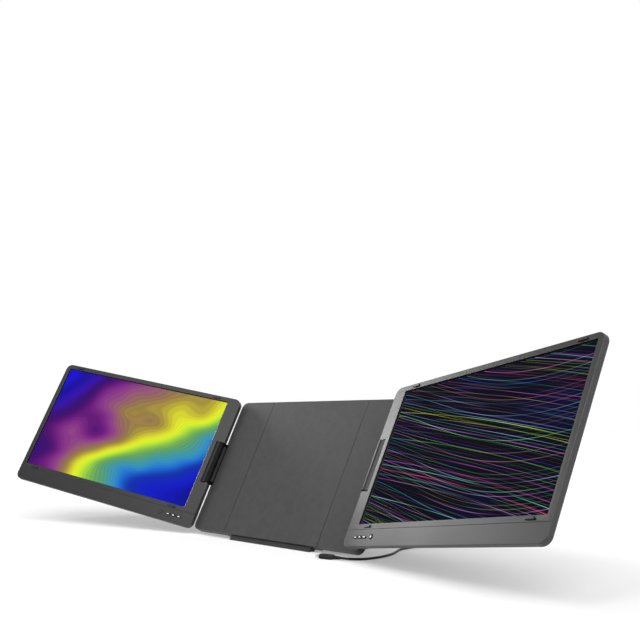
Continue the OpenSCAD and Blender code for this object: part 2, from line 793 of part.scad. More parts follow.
front_frame(-1);  // front_frame_left
front_frame(1);  // front_frame_right
chin_cover(-1);  // chin_cover_left
chin_cover(1);  // chin_cover_right
back_cover(-1);  // back_cover_left
back_cover(1);  // back_cover_right
lcd_glass(-1);  // lcd_glass_left
lcd_glass(1);  // lcd_glass_right
backlight(-1);  // backlight_left
backlight(1);  // backlight_right
driver_board(-1);  // driver_board_left
driver_board(1);  // driver_board_right
button_board(-1);  // button_board_left
button_board(1);  // button_board_right
push_button(-1, button_x[0], false);  // menu_button_left
push_button(1, button_x[0], false);  // menu_button_right
push_button(-1, button_x[1], false);  // down_button_left
push_button(1, button_x[1], false);  // down_button_right
push_button(-1, button_x[2], false);  // up_button_left
push_button(1, button_x[2], false);  // up_button_right
push_button(-1, power_x, true);  // power_button_left
push_button(1, power_x, true);  // power_button_right
bumpers(-1);  // bumpers_left
bumpers(1);  // bumpers_right
panel_screws(-1);  // panel_screws_left
panel_screws(1);  // panel_screws_right
hinge_leaves(-1);  // hinge_leaves_left
hinge_leaves(1);  // hinge_leaves_right
hinge_pin(-1);  // hinge_pin_left
hinge_pin(1);  // hinge_pin_right
hinge_block(-1);  // hinge_block_left
hinge_block(1);  // hinge_block_right
hinge_bushes(-1);  // hinge_bushes_left
hinge_bushes(1);  // hinge_bushes_right
grip_pad(-1);  // grip_pad_left
grip_pad(1);  // grip_pad_right
arm_front(-1);  // arm_front_left
arm_front(1);  // arm_front_right
arm_back(-1);  // arm_back_left
arm_back(1);  // arm_back_right
slide_bars(-1);  // slide_bars_left
slide_bars(1);  // slide_bars_right
arm_screws(-1);  // arm_screws_left
arm_screws(1);  // arm_screws_right
port(-1);  // port_left
port(1);  // port_right
core_front();
core_back();
slide_guides();
core_screws();
base_foot();
stand_brackets();
stand_pins();
stand_leg();
stand_foot();
lead();
laptop_plug();
arm_plug();
plug_tips();
lead_reliefs();
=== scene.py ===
"""Finishes of a laptop screen extender: two hinged display panels on a leaning body.

Each piece has its own operator, listed in the sidebar's panel. Sizes are in metres.
Panel pieces are drawn in the panel's own frame: X from the hinge-side edge outwards,
Y from the front face backwards and Z up from the lower edge.
"""

import json
import math

import bmesh
import bpy
from mathutils import Matrix, Vector


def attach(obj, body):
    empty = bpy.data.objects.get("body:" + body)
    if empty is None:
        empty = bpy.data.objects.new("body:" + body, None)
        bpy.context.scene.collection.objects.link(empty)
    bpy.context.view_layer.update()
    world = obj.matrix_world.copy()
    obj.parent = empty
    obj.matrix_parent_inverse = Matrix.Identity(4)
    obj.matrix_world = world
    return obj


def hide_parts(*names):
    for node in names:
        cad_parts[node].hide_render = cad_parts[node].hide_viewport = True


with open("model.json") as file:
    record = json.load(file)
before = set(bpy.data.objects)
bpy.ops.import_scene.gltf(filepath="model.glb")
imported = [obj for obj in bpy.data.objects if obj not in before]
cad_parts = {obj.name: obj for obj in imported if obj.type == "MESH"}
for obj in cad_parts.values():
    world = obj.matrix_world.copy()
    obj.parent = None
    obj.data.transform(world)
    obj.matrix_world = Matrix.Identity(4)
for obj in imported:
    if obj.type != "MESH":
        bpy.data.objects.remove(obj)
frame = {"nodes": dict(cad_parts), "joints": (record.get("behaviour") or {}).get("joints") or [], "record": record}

bl_info = {
    "name": "Laptop Screen Extender",
    "version": (1, 0, 0),
    "blender": (4, 5, 0),
    "location": "View3D > Sidebar > Extender",
    "description": "Builds the pieces, finishes and stage of a laptop screen extender",
    "category": "Object",
}

SIDES = ("left", "right")
JOINTS = {joint["name"]: joint for joint in frame["joints"]}
MOUNTS = {mount["name"]: mount for mount in frame["record"]["mounts"]}
BUTTONS = ("menu_button", "down_button", "up_button", "power_button")

# How far a cutter reaches past the face that it cuts
OVERCUT = 0.0002

# Height of the middle of the vents on a back cover, and from one slot to the next
VENT_MIDDLE = 0.102
VENT_PITCH = 0.0064
# Distance from the middle of a back cover to the middle of a group of vents
VENT_ASIDE = 0.062

# Width and height of a bumper and the depth of its seat in the front frame
BUMPER_SIZE = (0.014, 0.003)
BUMPER_SEAT = 0.0005

# Direction that each lamp's light comes from, and the width of the lamp in degrees
LAMPS = {
    "key": ((1.4, -1.0, 1.0), 60),
    "fill": ((0.0, -0.73, 0.7), 20),
    "side": ((-0.97, 0.02, 0.29), 20),
}

# Middle of the lead, from the socket in the right arm to the free plug on the table
LEAD_ROUTE = (
    (0.1178, 0.040547, 0.009194), (0.1178, 0.052, 0.004), (0.1178, 0.064, 0.0021),
    (0.1157, 0.078, 0.0017), (0.111, 0.094, 0.0017), (0.1055, 0.1095, 0.0017),
    (0.101, 0.125, 0.0017), (0.099, 0.14, 0.0017), (0.101, 0.1545, 0.0017),
    (0.1068, 0.168, 0.0017), (0.1185, 0.1757, 0.0017), (0.1325, 0.1747, 0.0017),
    (0.143, 0.1648, 0.0017), (0.148, 0.149, 0.0017), (0.1495, 0.133, 0.0017),
    (0.1525, 0.118, 0.0017), (0.1585, 0.1035, 0.0017), (0.166, 0.0905, 0.0017),
    (0.1734, 0.0785, 0.0017), (0.1799, 0.0665, 0.0017), (0.1848, 0.0545, 0.0017),
    (0.1882, 0.043, 0.0017), (0.1906, 0.032, 0.0017), (0.192, 0.022, 0.0017),
    (0.1924, 0.012, 0.0017), (0.1918, 0.002, 0.0017), (0.1904, -0.007, 0.002),
    (0.1882, -0.015, 0.0025), (0.1844, -0.0212, 0.0029), (0.1786, -0.0254, 0.0033),
    (0.173746, -0.026578, 0.0033),
)


# ---- Frames of the leaning body and of the two panels ----


def local_box(node, matrix):
    """Lowest and highest corner of a CAD node in the frame that matrix stands for."""
    inverse = matrix.inverted()
    points = [inverse @ vertex.co for vertex in frame["nodes"][node].data.vertices]
    return [Vector([pick(point[i] for point in points) for i in range(3)]) for pick in (min, max)]


def turned(across, back, up):
    """Matrix whose X, Y and Z axes are the three directions."""
    return Matrix((across, back, up)).transposed().to_4x4()


UP = Vector(JOINTS["panel_left_hinge"]["axis"]).normalized()
ACROSS = Vector((1, 0, 0))
BACK = UP.cross(ACROSS).normalized()
LEAN = turned(ACROSS, BACK, UP)


def panel_frame(side):
    """Frame of a panel: outwards, backwards and up from its lower front corner."""
    back = Vector(JOINTS["menu_button_%s_press" % side]["axis"]).normalized()
    across = back.cross(UP)
    if side == "left":
        across = -across
    turn = turned(across, back, UP)
    return turn @ Matrix.Translation(local_box("front_frame_" + side, turn)[0])


PANEL = {side: panel_frame(side) for side in SIDES}
PANEL_W, SEAM_Y, PANEL_H = local_box("front_frame_right", PANEL["right"])[1]
PANEL_T = local_box("back_cover_right", PANEL["right"])[1].y
CHIN_TOP = local_box("chin_cover_right", PANEL["right"])[1].z
GLASS_LOW, GLASS_HIGH = local_box("lcd_glass_right", PANEL["right"])


# ---- Settings ----


def number(label, text, default, least=0.0, **options):
    """Setting for a plain number or a share."""
    return bpy.props.FloatProperty(
        name=label, description=text, default=default, min=least, **options
    )


def length(label, text, default, least, precision=4):
    """Setting for a length."""
    return number(
        label, text, default, least, precision=precision, subtype="DISTANCE", unit="LENGTH"
    )


def lengths(label, text, default):
    """Setting for several lengths."""
    return bpy.props.FloatVectorProperty(
        name=label, description=text, default=default, size=len(default), precision=4, unit="LENGTH"
    )


def angle(label, text, degrees):
    """Setting for an angle."""
    return bpy.props.FloatProperty(
        name=label,
        description=text,
        default=math.radians(degrees),
        subtype="ANGLE",
        unit="ROTATION",
    )


def tint(label, text, default):
    """Setting for a colour."""
    return bpy.props.FloatVectorProperty(
        name=label, description=text, default=default, size=3, min=0, max=1, subtype="COLOR"
    )


class ExtenderStageSettings(bpy.types.PropertyGroup):
    """Camera, table top and light."""

    camera_place: bpy.props.FloatVectorProperty(
        name="Camera Place",
        description="Where the camera stands",
        default=(1.0519, -0.8853, 0.1735),
        size=3,
        subtype="TRANSLATION",
        unit="LENGTH",
    )
    camera_yaw: angle("Camera Yaw", "How far the camera is turned to the left", 50.85)
    camera_pitch: angle("Camera Pitch", "How far the camera looks down", -0.10)
    camera_roll: angle("Camera Roll", "How far the camera is turned about its line of sight", -0.29)
    camera_lens: number("Lens", "Focal length on a 36 mm wide sensor, in millimetres", 52.875, 10)
    camera_shift: bpy.props.FloatVectorProperty(
        name="Lens Shift",
        description="Sideways and upward shift of the lens, as shares of the picture",
        default=(0.1014, 0.1642),
        size=2,
    )
    ambient: number("Ambient Light", "Level of the light from all round", 0.36, subtype="FACTOR")
    key_light: number("Key Light", "Strength of the wide lamp on the right", 3.2)
    fill_light: number("Fill Light", "Strength of the wide lamp in front", 0.75)
    side_light: number("Side Light", "Strength of the low lamp on the left", 0.85)
    floor_colour: tint("Table Colour", "Colour of the table top", (0.8, 0.8, 0.8))


class ExtenderPanelSettings(bpy.types.PropertyGroup):
    """Sizes of the panel housings."""

    corner_radius: length("Corner Radius", "Radius of a panel's corners", 0.011, 0.006)
    front_bevel: length("Front Edge", "Radius of a panel's front edge", 0.0007, 0.0002, 5)
    side_depth: length("Flat Side", "Depth at which a panel's side starts to turn in", 0.007, 0.003)
    knee: lengths("Knee", "Inset and depth of the fold in a panel's back edge", (0.0016, 0.0092))
    back_inset: length("Back Inset", "How far a flat back lies inside its outline", 0.0046, 0.002)
    hinge_flat: length("Flat Hinge Side", "Depth at which the hinge side is cut off", 0.009, 0.003)
    seam_groove: length("Seam Groove", "Depth of the groove between two pieces", 0.0002, 0.0001, 5)
    notch: lengths("Hinge Notch", "Depth and height of the notch round a barrel", (0.015, 0.075))
    glass_lap: length("Glass Lap", "How far the display reaches under the bezel", 0.003, 0.001)
    vent_count: bpy.props.IntProperty(
        name="Vents", description="Number of slots in each group of vents", default=4, min=2
    )
    vent_size: lengths("Vent Size", "Width and height of a vent slot", (0.088, 0.0022))


class ExtenderDisplaySettings(bpy.types.PropertyGroup):
    """Pictures on the two displays."""

    brightness: number("Brightness", "Brightness of both pictures", 1.0, subtype="FACTOR")
    border: length("Black Border", "Width of the border round a picture", 0.001, 0.0002, 5)
    night: tint("Dark Ground", "Ground colour of the dark picture", (0.0006, 0.0006, 0.006))


class ExtenderFinishSettings(bpy.types.PropertyGroup):
    """Colours and surface of the materials."""

    front_colour: tint("Bezel Colour", "Colour of the panel fronts", (0.006, 0.006, 0.0062))
    shell_colour: tint("Shell Colour", "Colour of backs, arms and body", (0.018, 0.018, 0.0185))
    rubber_colour: tint("Rubber Colour", "Colour of feet, pads and lead", (0.005, 0.005, 0.0054))
    steel_colour: tint("Steel Colour", "Colour of screws, pins, bars and tips", (0.55, 0.555, 0.57))
    grain_size: length("Grain Size", "Size of the grain of moulded plastic", 0.0006, 0.0001, 5)
    wear: number("Edge Wear", "How much lighter worn edges are", 0.35, max=1, subtype="FACTOR")
    dust: number("Dust", "How much dust lies on top", 0.12, max=1, subtype="FACTOR")


class ExtenderLeadSettings(bpy.types.PropertyGroup):
    """Sizes of the lead and its plugs."""

    diameter: length("Lead Diameter", "Diameter of the lead's jacket", 0.0034, 0.001)
    length: length("Lead Length", "Length between the two strain reliefs", 0.386, 0.05)
    plug_size: lengths("Plug Size", "Width, length and thickness of a grip", (0.012, 0.021, 0.0066))
    relief_length: length("Strain Relief", "Length of the ribbed part behind a plug", 0.009, 0.002)
    tip_size: lengths("Tip Size", "Width, length and thickness of a tip", (0.0083, 0.0065, 0.0025))


def settings(name):
    """One of the scene's groups of settings."""
    return getattr(bpy.context.scene, "extender_" + name)


# ---- Mesh helpers ----


def add_object(name, data):
    """New object in the scene."""
    piece = bpy.data.objects.new(name, data)
    bpy.context.scene.collection.objects.link(piece)
    return piece


def catmull(points, steps):
    """Smooth line through points, with the given number of steps from each to the next."""
    points = [Vector(point) for point in points]
    last = len(points) - 1
    line = []
    for i in range(last):
        a, b = points[max(i - 1, 0)], points[i]
        c, d = points[i + 1], points[min(i + 2, last)]
        for k in range(steps):
            t = k / steps
            bend = (2 * a - 5 * b + 4 * c - d) * t**2 + (3 * b - a - 3 * c + d) * t**3
            line.append(0.5 * (2 * b + (c - a) * t + bend))
    line.append(points[-1])
    return line


def loft(shape, rings):
    """Closed skin through rings that have the same number of points."""
    loops = [[shape.verts.new(point) for point in ring] for ring in rings]
    count = len(loops[0])
    for near, far in zip(loops, loops[1:]):
        for i in range(count):
            j = (i + 1) % count
            shape.faces.new((near[i], near[j], far[j], far[i]))
    shape.faces.new(loops[0][::-1])
    shape.faces.new(loops[-1])


def grown(width, height, rows):
    """Rows of depth, width and height, from rows of depth and growth."""
    return [(y, width + growth, height + growth) for y, growth in rows]


def loft_pills(shape, x, z, rows, steps=12):
    """Closed skin through flat pills; each row has a depth, a width and a height."""
    rings = []
    for y, width, height in rows:
        ring = []
        for end in (1, -1):
            middle = x + end * (width - height) / 2
            for k in range(steps + 1):
                turn = math.pi * (k / steps - 0.5)
                along, rise = math.cos(turn), math.sin(turn)
                ring.append((middle + end * height / 2 * along, y, z + end * height / 2 * rise))
        rings.append(ring)
    loft(shape, rings)


def frustum(shape, low, high, near, far):
    """Block in X and Z that grows from one depth to another; near and far are (depth, growth)."""
    rings = []
    for y, growth in (near, far):
        x0, z0 = low[0] - growth, low[1] - growth
        x1, z1 = high[0] + growth, high[1] + growth
        rings.append([(x0, y, z0), (x1, y, z0), (x1, y, z1), (x0, y, z1)])
    loft(shape, rings)


def mesh_of(shape, name="shape"):
    """Mesh of a bmesh, with its faces turned outwards."""
    bmesh.ops.recalc_face_normals(shape, faces=shape.faces)
    mesh = bpy.data.meshes.new(name)
    shape.to_mesh(mesh)
    shape.free()
    return mesh


def cad_shape(node, matrix):
    """Welded copy of a CAD node in the frame that matrix stands for."""
    shape = bmesh.new()
    shape.from_mesh(frame["nodes"][node].data)
    bmesh.ops.remove_doubles(shape, verts=shape.verts, dist=1e-6)
    shape.transform(matrix.inverted())
    return shape


def combine(base, tool, operation):
    """Mesh that a boolean operation makes of two closed meshes."""
    first = add_object("shape", base)
    second = add_object("tool", tool)
    modifier = first.modifiers.new("cut", "BOOLEAN")
    modifier.operation = operation
    modifier.solver = "EXACT"
    modifier.object = second
    result = bpy.data.meshes.new_from_object(
        first.evaluated_get(bpy.context.evaluated_depsgraph_get())
    )
    for piece in (first, second):
        bpy.data.objects.remove(piece)
    if not result.polygons:
        raise RuntimeError("a cut left nothing of " + base.name)
    return result


def merge_flat(mesh):
    """Joins the faces of each flat area into one."""
    shape = bmesh.new()
    shape.from_mesh(mesh)
    bmesh.ops.remove_doubles(shape, verts=shape.verts, dist=2e-6)
    bmesh.ops.dissolve_limit(shape, angle_limit=0.002, verts=shape.verts, edges=shape.edges)
    shape.to_mesh(mesh)
    shape.free()


def place_piece(name, mesh, matrix, body, finishes, nodes, bevel=0.0):
    """Object in the row's frame that stands for CAD nodes and rides on a body."""
    mesh = mesh.copy()
    mesh.name = name
    mesh.transform(matrix)
    if matrix.determinant() < 0:
        mesh.flip_normals()
    numbers = [polygon.material_index for polygon in mesh.polygons]
    mesh.materials.clear()
    for finish in finishes:
        mesh.materials.append(finish_named(finish))
    mesh.polygons.foreach_set("material_index", numbers)
    mesh.shade_smooth()
    piece = add_object(name, mesh)
    if bevel:
        rounding = piece.modifiers.new("rounded_edges", "BEVEL")
        rounding.limit_method = "ANGLE"
        rounding.angle_limit = math.radians(28)
        rounding.width = bevel
        rounding.segments = 3
        rounding.miter_outer = "MITER_ARC"
    else:
        mesh.set_sharp_from_angle(angle=math.radians(30))
    shading = piece.modifiers.new("flat_faces", "WEIGHTED_NORMAL")
    shading.keep_sharp = True
    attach(piece, body)
    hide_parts(*nodes)
    return piece


def place_on_panels(name, mesh, finishes, node):
    """Places a mesh on both panels; the two names have the side filled in."""
    for side in SIDES:
        body = "panel_" + side
        place_piece(name % side, mesh, PANEL[side], body, finishes, [node % side])


def refined(node, body, finish, bevel):
    """CAD node's shape with rounded edges and its own finish."""
    place = Matrix.Identity(4)
    mesh = mesh_of(cad_shape(node, place), node)
    merge_flat(mesh)
    return place_piece(node + "_piece", mesh, place, body, [finish], [node], bevel)


def paint_inboard_shade(piece, side, finish, start):
    """Gives faces that turn inboard, by more than start from the front, a second finish of painted shade."""
    piece.data.materials.append(finish_named(finish))
    inboard = ACROSS if side == "left" else -ACROSS
    for polygon in piece.data.polygons:
        turn = math.atan2(polygon.normal.dot(inboard), -polygon.normal.dot(BACK))
        if start < turn < math.pi - start:
            polygon.material_index = 1


# ---- Shader helpers ----


def feed(tree, node, inputs):
    """Fills a node's inputs, each with a value or another node's output."""
    for name, value in inputs.items():
        if isinstance(value, bpy.types.NodeSocket):
            tree.links.new(value, node.inputs[name])
        else:
            node.inputs[name].default_value = value


def put(tree, kind, inputs=None, **properties):
    """Adds a node with its properties and inputs."""
    node = tree.nodes.new(kind)
    node.location = (len(tree.nodes) * 190, -(len(tree.nodes) % 3) * 180)
    for name, value in properties.items():
        setattr(node, name, value)
    feed(tree, node, inputs or {})
    return node


def maths(tree, operation, first, second=0.0, third=0.0):
    """Output of a math node."""
    inputs = {0: first, 1: second, 2: third}
    return put(tree, "ShaderNodeMath", inputs, operation=operation).outputs[0]


def times(tree, first, *others):
    """Product of values."""
    for other in others:
        first = maths(tree, "MULTIPLY", first, other)
    return first


def times_add(tree, first, second, third):
    """Product of two values, plus a third."""
    return maths(tree, "MULTIPLY_ADD", first, second, third)


def centred(tree, value):
    """Value from 0 to 1, shifted to lie round 0."""
    return maths(tree, "SUBTRACT", value, 0.5)


def remap(tree, value, low, high, to_low=0.0, to_high=1.0, **properties):
    """Value mapped from one range to another and kept inside it."""
    inputs = {
        "Value": value,
        "From Min": low,
        "From Max": high,
        "To Min": to_low,
        "To Max": to_high,
    }
    return put(tree, "ShaderNodeMapRange", inputs, **properties).outputs["Result"]


def mix_colour(tree, share, first, second, blend="MIX"):
    """Output of a colour mix node."""
    inputs = {0: share, 6: first, 7: second}
    return put(tree, "ShaderNodeMix", inputs, data_type="RGBA", blend_type=blend).outputs[2]


def scaled(tree, rgb, level):
    """Colour times a value."""
    inputs = {0: rgb, "Scale": level}
    return put(tree, "ShaderNodeVectorMath", inputs, operation="SCALE").outputs[0]


def object_point(tree):
    """Point of the surface in the object's own frame."""
    return put(tree, "ShaderNodeTexCoord").outputs["Object"]


def noise(tree, point, scale, detail=2.0, roughness=0.5):
    """Soft noise from 0 to 1."""
    inputs = {"Vector": point, "Scale": scale, "Detail": detail, "Roughness": roughness}
    return put(tree, "ShaderNodeTexNoise", inputs).outputs[0]


def new_group(name, inputs, outputs):
    """Empty node group: its tree, its inputs and the node that takes its outputs.

    Inputs and outputs whose names end in Colour are colours, and all others are numbers.
    """
    tree = bpy.data.node_groups.new(name, "ShaderNodeTree")
    for labels, way in ((inputs, "INPUT"), (outputs, "OUTPUT")):
        for label in labels:
            kind = "NodeSocketColor" if label.endswith("Colour") else "NodeSocketFloat"
            socket = tree.interface.new_socket(label, in_out=way, socket_type=kind)
            if way == "INPUT":
                socket.default_value = inputs[label]
    return tree, put(tree, "NodeGroupInput").outputs, put(tree, "NodeGroupOutput")


def use_group(tree, name, inputs):
    """Places a shared node group in a material."""
    return put(tree, "ShaderNodeGroup", inputs, node_tree=bpy.data.node_groups[name]).outputs


def colour(rgb):
    """Colour with full alpha."""
    return (*rgb[:3], 1.0)


def lighter(rgb, factor, lift):
    """Lighter shade of a colour, with full alpha."""
    return colour([min(1, level * factor + lift) for level in rgb])


# ---- Shared effects ----

GREY = (0.05, 0.05, 0.05, 1)


def build_grain_group():
    """Grain of moulded plastic or rubber, with soft changes of shade."""
    tree, inputs, end = new_group(
        "Moulded Grain",
        {"Colour": GREY, "Grain Size": 0.0006, "Shade Change": 0.06, "Roughness": 0.5},
        ("Colour", "Roughness", "Height"),
    )
    point = object_point(tree)
    fine = noise(tree, point, maths(tree, "DIVIDE", 1.0, inputs["Grain Size"]), 3.0, 0.6)
    broad = noise(tree, point, 16.0, 3.0)
    both = maths(tree, "ADD", centred(tree, fine), centred(tree, broad))
    shade = times_add(tree, both, inputs["Shade Change"], 1.0)
    outputs = {
        "Colour": scaled(tree, inputs["Colour"], shade),
        "Roughness": times_add(tree, both, 0.12, inputs["Roughness"]),
        "Height": fine,
    }
    feed(tree, end, outputs)


def build_wear_group():
    """Lighter edges where hands touch, in patches."""
    tree, inputs, end = new_group(
        "Edge Wear",
        {"Colour": GREY, "Worn Colour": (0.14, 0.14, 0.14, 1), "Amount": 0.4},
        ("Colour",),
    )
    sharp = put(tree, "ShaderNodeNewGeometry").outputs["Pointiness"]
    edge = remap(tree, sharp, 0.515, 0.57)
    patches = remap(tree, noise(tree, object_point(tree), 90.0, 4.0), 0.38, 0.62)
    mask = times(tree, edge, patches, inputs["Amount"])
    feed(tree, end, {"Colour": mix_colour(tree, mask, inputs["Colour"], inputs["Worn Colour"])})


def build_dust_group():
    """Fine dust on faces that look up."""
    tree, inputs, end = new_group(
        "Settled Dust",
        {"Colour": GREY, "Roughness": 0.5, "Dust Colour": (0.32, 0.31, 0.29, 1), "Amount": 0.1},
        ("Colour", "Roughness"),
    )
    coordinates = put(tree, "ShaderNodeTexCoord").outputs
    upward = put(tree, "ShaderNodeSeparateXYZ", {0: coordinates["Normal"]}).outputs["Z"]
    facing = remap(tree, upward, 0.35, 0.95)
    specks = remap(tree, noise(tree, coordinates["Object"], 900.0, 3.0, 0.7), 0.45, 0.75)
    drift = remap(tree, noise(tree, coordinates["Object"], 20.0, 2.0), 0.3, 0.7, 0.3, 1.0)
    share = times(tree, facing, specks, drift, inputs["Amount"])
    outputs = {
        "Colour": mix_colour(tree, share, inputs["Colour"], inputs["Dust Colour"]),
        "Roughness": times_add(tree, share, 0.5, inputs["Roughness"]),
    }
    feed(tree, end, outputs)


def build_brushed_group():
    """Fine drawn lines on metal."""
    tree, inputs, end = new_group(
        "Brushed Metal",
        {"Colour": (0.55, 0.55, 0.57, 1), "Roughness": 0.3, "Line Size": 0.0002, "Contrast": 0.15},
        ("Colour", "Roughness", "Height"),
    )
    stretch = {"Vector": object_point(tree), "Scale": (0.05, 1.0, 1.0)}
    point = put(tree, "ShaderNodeMapping", stretch).outputs[0]
    lines = noise(tree, point, maths(tree, "DIVIDE", 1.0, inputs["Line Size"]), 3.0, 0.7)
    around = centred(tree, lines)
    shade = times_add(tree, around, inputs["Contrast"], 1.0)
    outputs = {
        "Colour": scaled(tree, inputs["Colour"], shade),
        "Roughness": times_add(tree, around, 0.2, inputs["Roughness"]),
        "Height": lines,
    }
    feed(tree, end, outputs)


def build_lines_group():
    """Family of thin coloured light lines across a coordinate."""
    tree, inputs, end = new_group(
        "Light Lines",
        {"Across": 0.0, "Along": 0.0, "Count": 30.0, "Width": 0.1, "Seed": 0.0},
        ("Colour",),
    )
    placed = times(tree, inputs["Across"], inputs["Count"])
    line = maths(tree, "ADD", maths(tree, "FLOOR", placed), inputs["Seed"])
    offset = maths(tree, "ABSOLUTE", centred(tree, maths(tree, "FRACT", placed)))
    chance = put(tree, "ShaderNodeTexWhiteNoise", {"W": line}, noise_dimensions="1D").outputs
    spread = put(tree, "ShaderNodeSeparateColor", {0: chance["Color"]}).outputs
    width = times(tree, inputs["Width"], times_add(tree, spread[0], 1.2, 0.5))
    core = remap(tree, offset, 0.0, width, 1.0, 0.0, interpolation_type="SMOOTHERSTEP")
    run = put(tree, "ShaderNodeCombineXYZ", {0: times(tree, inputs["Along"], 2.2), 1: line})
    fade = remap(tree, noise(tree, run.outputs[0], 1.0, 1.0), 0.36, 0.66)
    level = times(tree, maths(tree, "POWER", spread[1], 2.0), fade)
    shade = {
        0: chance["Value"],
        1: times_add(tree, spread[2], 0.35, 0.6),
        2: times(tree, core, level),
    }
    light = put(tree, "ShaderNodeCombineColor", shade, mode="HSV")
    feed(tree, end, {"Colour": light.outputs[0]})


# ---- Materials ----


def new_tree(name):
    """Empty node tree of a new material."""
    material = bpy.data.materials.new(name)
    material.use_nodes = True
    material.node_tree.nodes.clear()
    return material.node_tree


def principled(tree, inputs):
    """Principled shader on the material's surface."""
    shader = put(tree, "ShaderNodeBsdfPrincipled", inputs)
    put(tree, "ShaderNodeOutputMaterial", {"Surface": shader.outputs[0]})


def bump(tree, height, depth):
    """Normal from a height, with its depth in metres."""
    inputs = {"Height": height, "Distance": depth, "Strength": 1.0}
    return put(tree, "ShaderNodeBump", inputs).outputs[0]


def worn(tree, rgb, shade, factor, lift):
    """Shade of a finish with its edges worn to a lighter one."""
    inputs = {
        "Colour": shade,
        "Worn Colour": lighter(rgb, factor, lift),
        "Amount": settings("finish").wear,
    }
    return use_group(tree, "Edge Wear", inputs)["Colour"]


def plastic(name, rgb, roughness, grain=1.0, depth=0.00002, shade=0.08, specular=0.5):
    """Moulded plastic or rubber with grain, worn edges and a little dust."""
    finish = settings("finish")
    tree = new_tree(name)
    inputs = {
        "Colour": colour(rgb),
        "Grain Size": finish.grain_size * grain,
        "Shade Change": shade,
        "Roughness": roughness,
    }
    grained = use_group(tree, "Moulded Grain", inputs)
    inputs = {
        "Colour": worn(tree, rgb, grained["Colour"], 1.6, 0.02),
        "Roughness": grained["Roughness"],
        "Amount": finish.dust,
    }
    dusty = use_group(tree, "Settled Dust", inputs)
    inputs = {
        "Base Color": dusty["Colour"],
        "Roughness": dusty["Roughness"],
        "Specular IOR Level": specular,
        "Normal": bump(tree, grained["Height"], depth),
    }
    principled(tree, inputs)


def metal(name, rgb, roughness, line=0.0002):
    """Drawn or turned metal with fine lines and lighter edges."""
    tree = new_tree(name)
    inputs = {"Colour": colour(rgb), "Roughness": roughness, "Line Size": line, "Contrast": 0.15}
    brushed = use_group(tree, "Brushed Metal", inputs)
    inputs = {
        "Base Color": worn(tree, rgb, brushed["Colour"], 1.25, 0.05),
        "Roughness": brushed["Roughness"],
        "Metallic": 1.0,
        "Normal": bump(tree, brushed["Height"], 0.000004),
    }
    principled(tree, inputs)


def board_material():
    """Green circuit board with lighter tracks and small bright pads."""
    tree = new_tree("green_board")
    point = object_point(tree)
    cells = {"Vector": point, "Scale": 420.0}
    cells = put(tree, "ShaderNodeTexVoronoi", cells, distance="MANHATTAN").outputs["Distance"]
    tracks = remap(tree, cells, 0.55, 0.62)
    pads = remap(tree, noise(tree, point, 700.0, 0.0), 0.68, 0.7)
    green = mix_colour(tree, tracks, (0.008, 0.07, 0.035, 1), (0.015, 0.12, 0.06, 1))
    inputs = {
        "Base Color": mix_colour(tree, pads, green, (0.5, 0.45, 0.3, 1)),
        "Roughness": remap(tree, pads, 0.0, 1.0, 0.45, 0.25),
        "Normal": bump(tree, tracks, 0.00003),
    }
    principled(tree, inputs)


def light_guide_material():
    """White light guide with its fine pattern of dots."""
    tree = new_tree("white_guide")
    dots = {"Vector": object_point(tree), "Scale": 900.0, "Randomness": 0.2}
    dots = put(tree, "ShaderNodeTexVoronoi", dots).outputs["Distance"]
    mask = remap(tree, dots, 0.25, 0.32)
    inputs = {
        "Base Color": mix_colour(tree, mask, (0.85, 0.86, 0.88, 1), (0.68, 0.7, 0.73, 1)),
        "Roughness": remap(tree, mask, 0.0, 1.0, 0.3, 0.2),
    }
    principled(tree, inputs)


def new_picture(name):
    """Node tree of a picture, its place on the display and the place's two parts."""
    tree = new_tree(name)
    place = put(tree, "ShaderNodeUVMap", uv_map="picture").outputs[0]
    return tree, place, put(tree, "ShaderNodeSeparateXYZ", {0: place}).outputs


def picture_shader(tree, light):
    """Display surface that shows a picture and hardly mirrors anything."""
    fine = noise(tree, object_point(tree), 4000.0, 1.0)
    inputs = {
        "Base Color": (0.004, 0.004, 0.005, 1),
        "Roughness": remap(tree, fine, 0.0, 1.0, 0.35, 0.45),
        "Specular IOR Level": 0.0,
        "Emission Color": light,
        "Emission Strength": settings("display").brightness,
    }
    principled(tree, inputs)


# Place and colour of each stop of the soft bands
BANDS = (
    (0.0, (0.002, 0.002, 0.3, 1)),
    (0.16, (0.004, 0.01, 0.8, 1)),
    (0.29, (0.01, 0.3, 0.4, 1)),
    (0.38, (0.3, 0.8, 0.03, 1)),
    (0.46, (0.85, 0.86, 0.01, 1)),
    (0.54, (0.5, 0.3, 0.06, 1)),
    (0.62, (0.26, 0.004, 0.28, 1)),
    (0.74, (0.03, 0.001, 0.12, 1)),
    (1.0, (0.004, 0.004, 0.7, 1)),
)


def soft_picture():
    """Picture of soft bands of bright colour that flow across the display."""
    tree, place, sides = new_picture("picture_soft_bands")
    warp = noise(tree, place, 1.7, 1.5, 0.4)
    slant = times_add(tree, sides[1], 0.62, times(tree, sides[0], 0.95))
    flow = times_add(tree, centred(tree, warp), 1.1, slant)
    ramp = put(tree, "ShaderNodeValToRGB", {"Fac": times(tree, flow, 0.66)})
    stops = ramp.color_ramp.elements
    ramp.color_ramp.interpolation = "B_SPLINE"
    while len(stops) < len(BANDS):
        stops.new(0.5)
    for stop, (position, shade) in zip(stops, BANDS):
        stop.position, stop.color = position, shade
    folds = maths(tree, "SINE", times(tree, flow, 21.0))
    ripples = maths(tree, "SINE", times(tree, flow, 260.0))
    sheen = times_add(tree, folds, 0.22, times_add(tree, ripples, 0.05, 0.85))
    picture_shader(tree, scaled(tree, ramp.outputs[0], sheen))


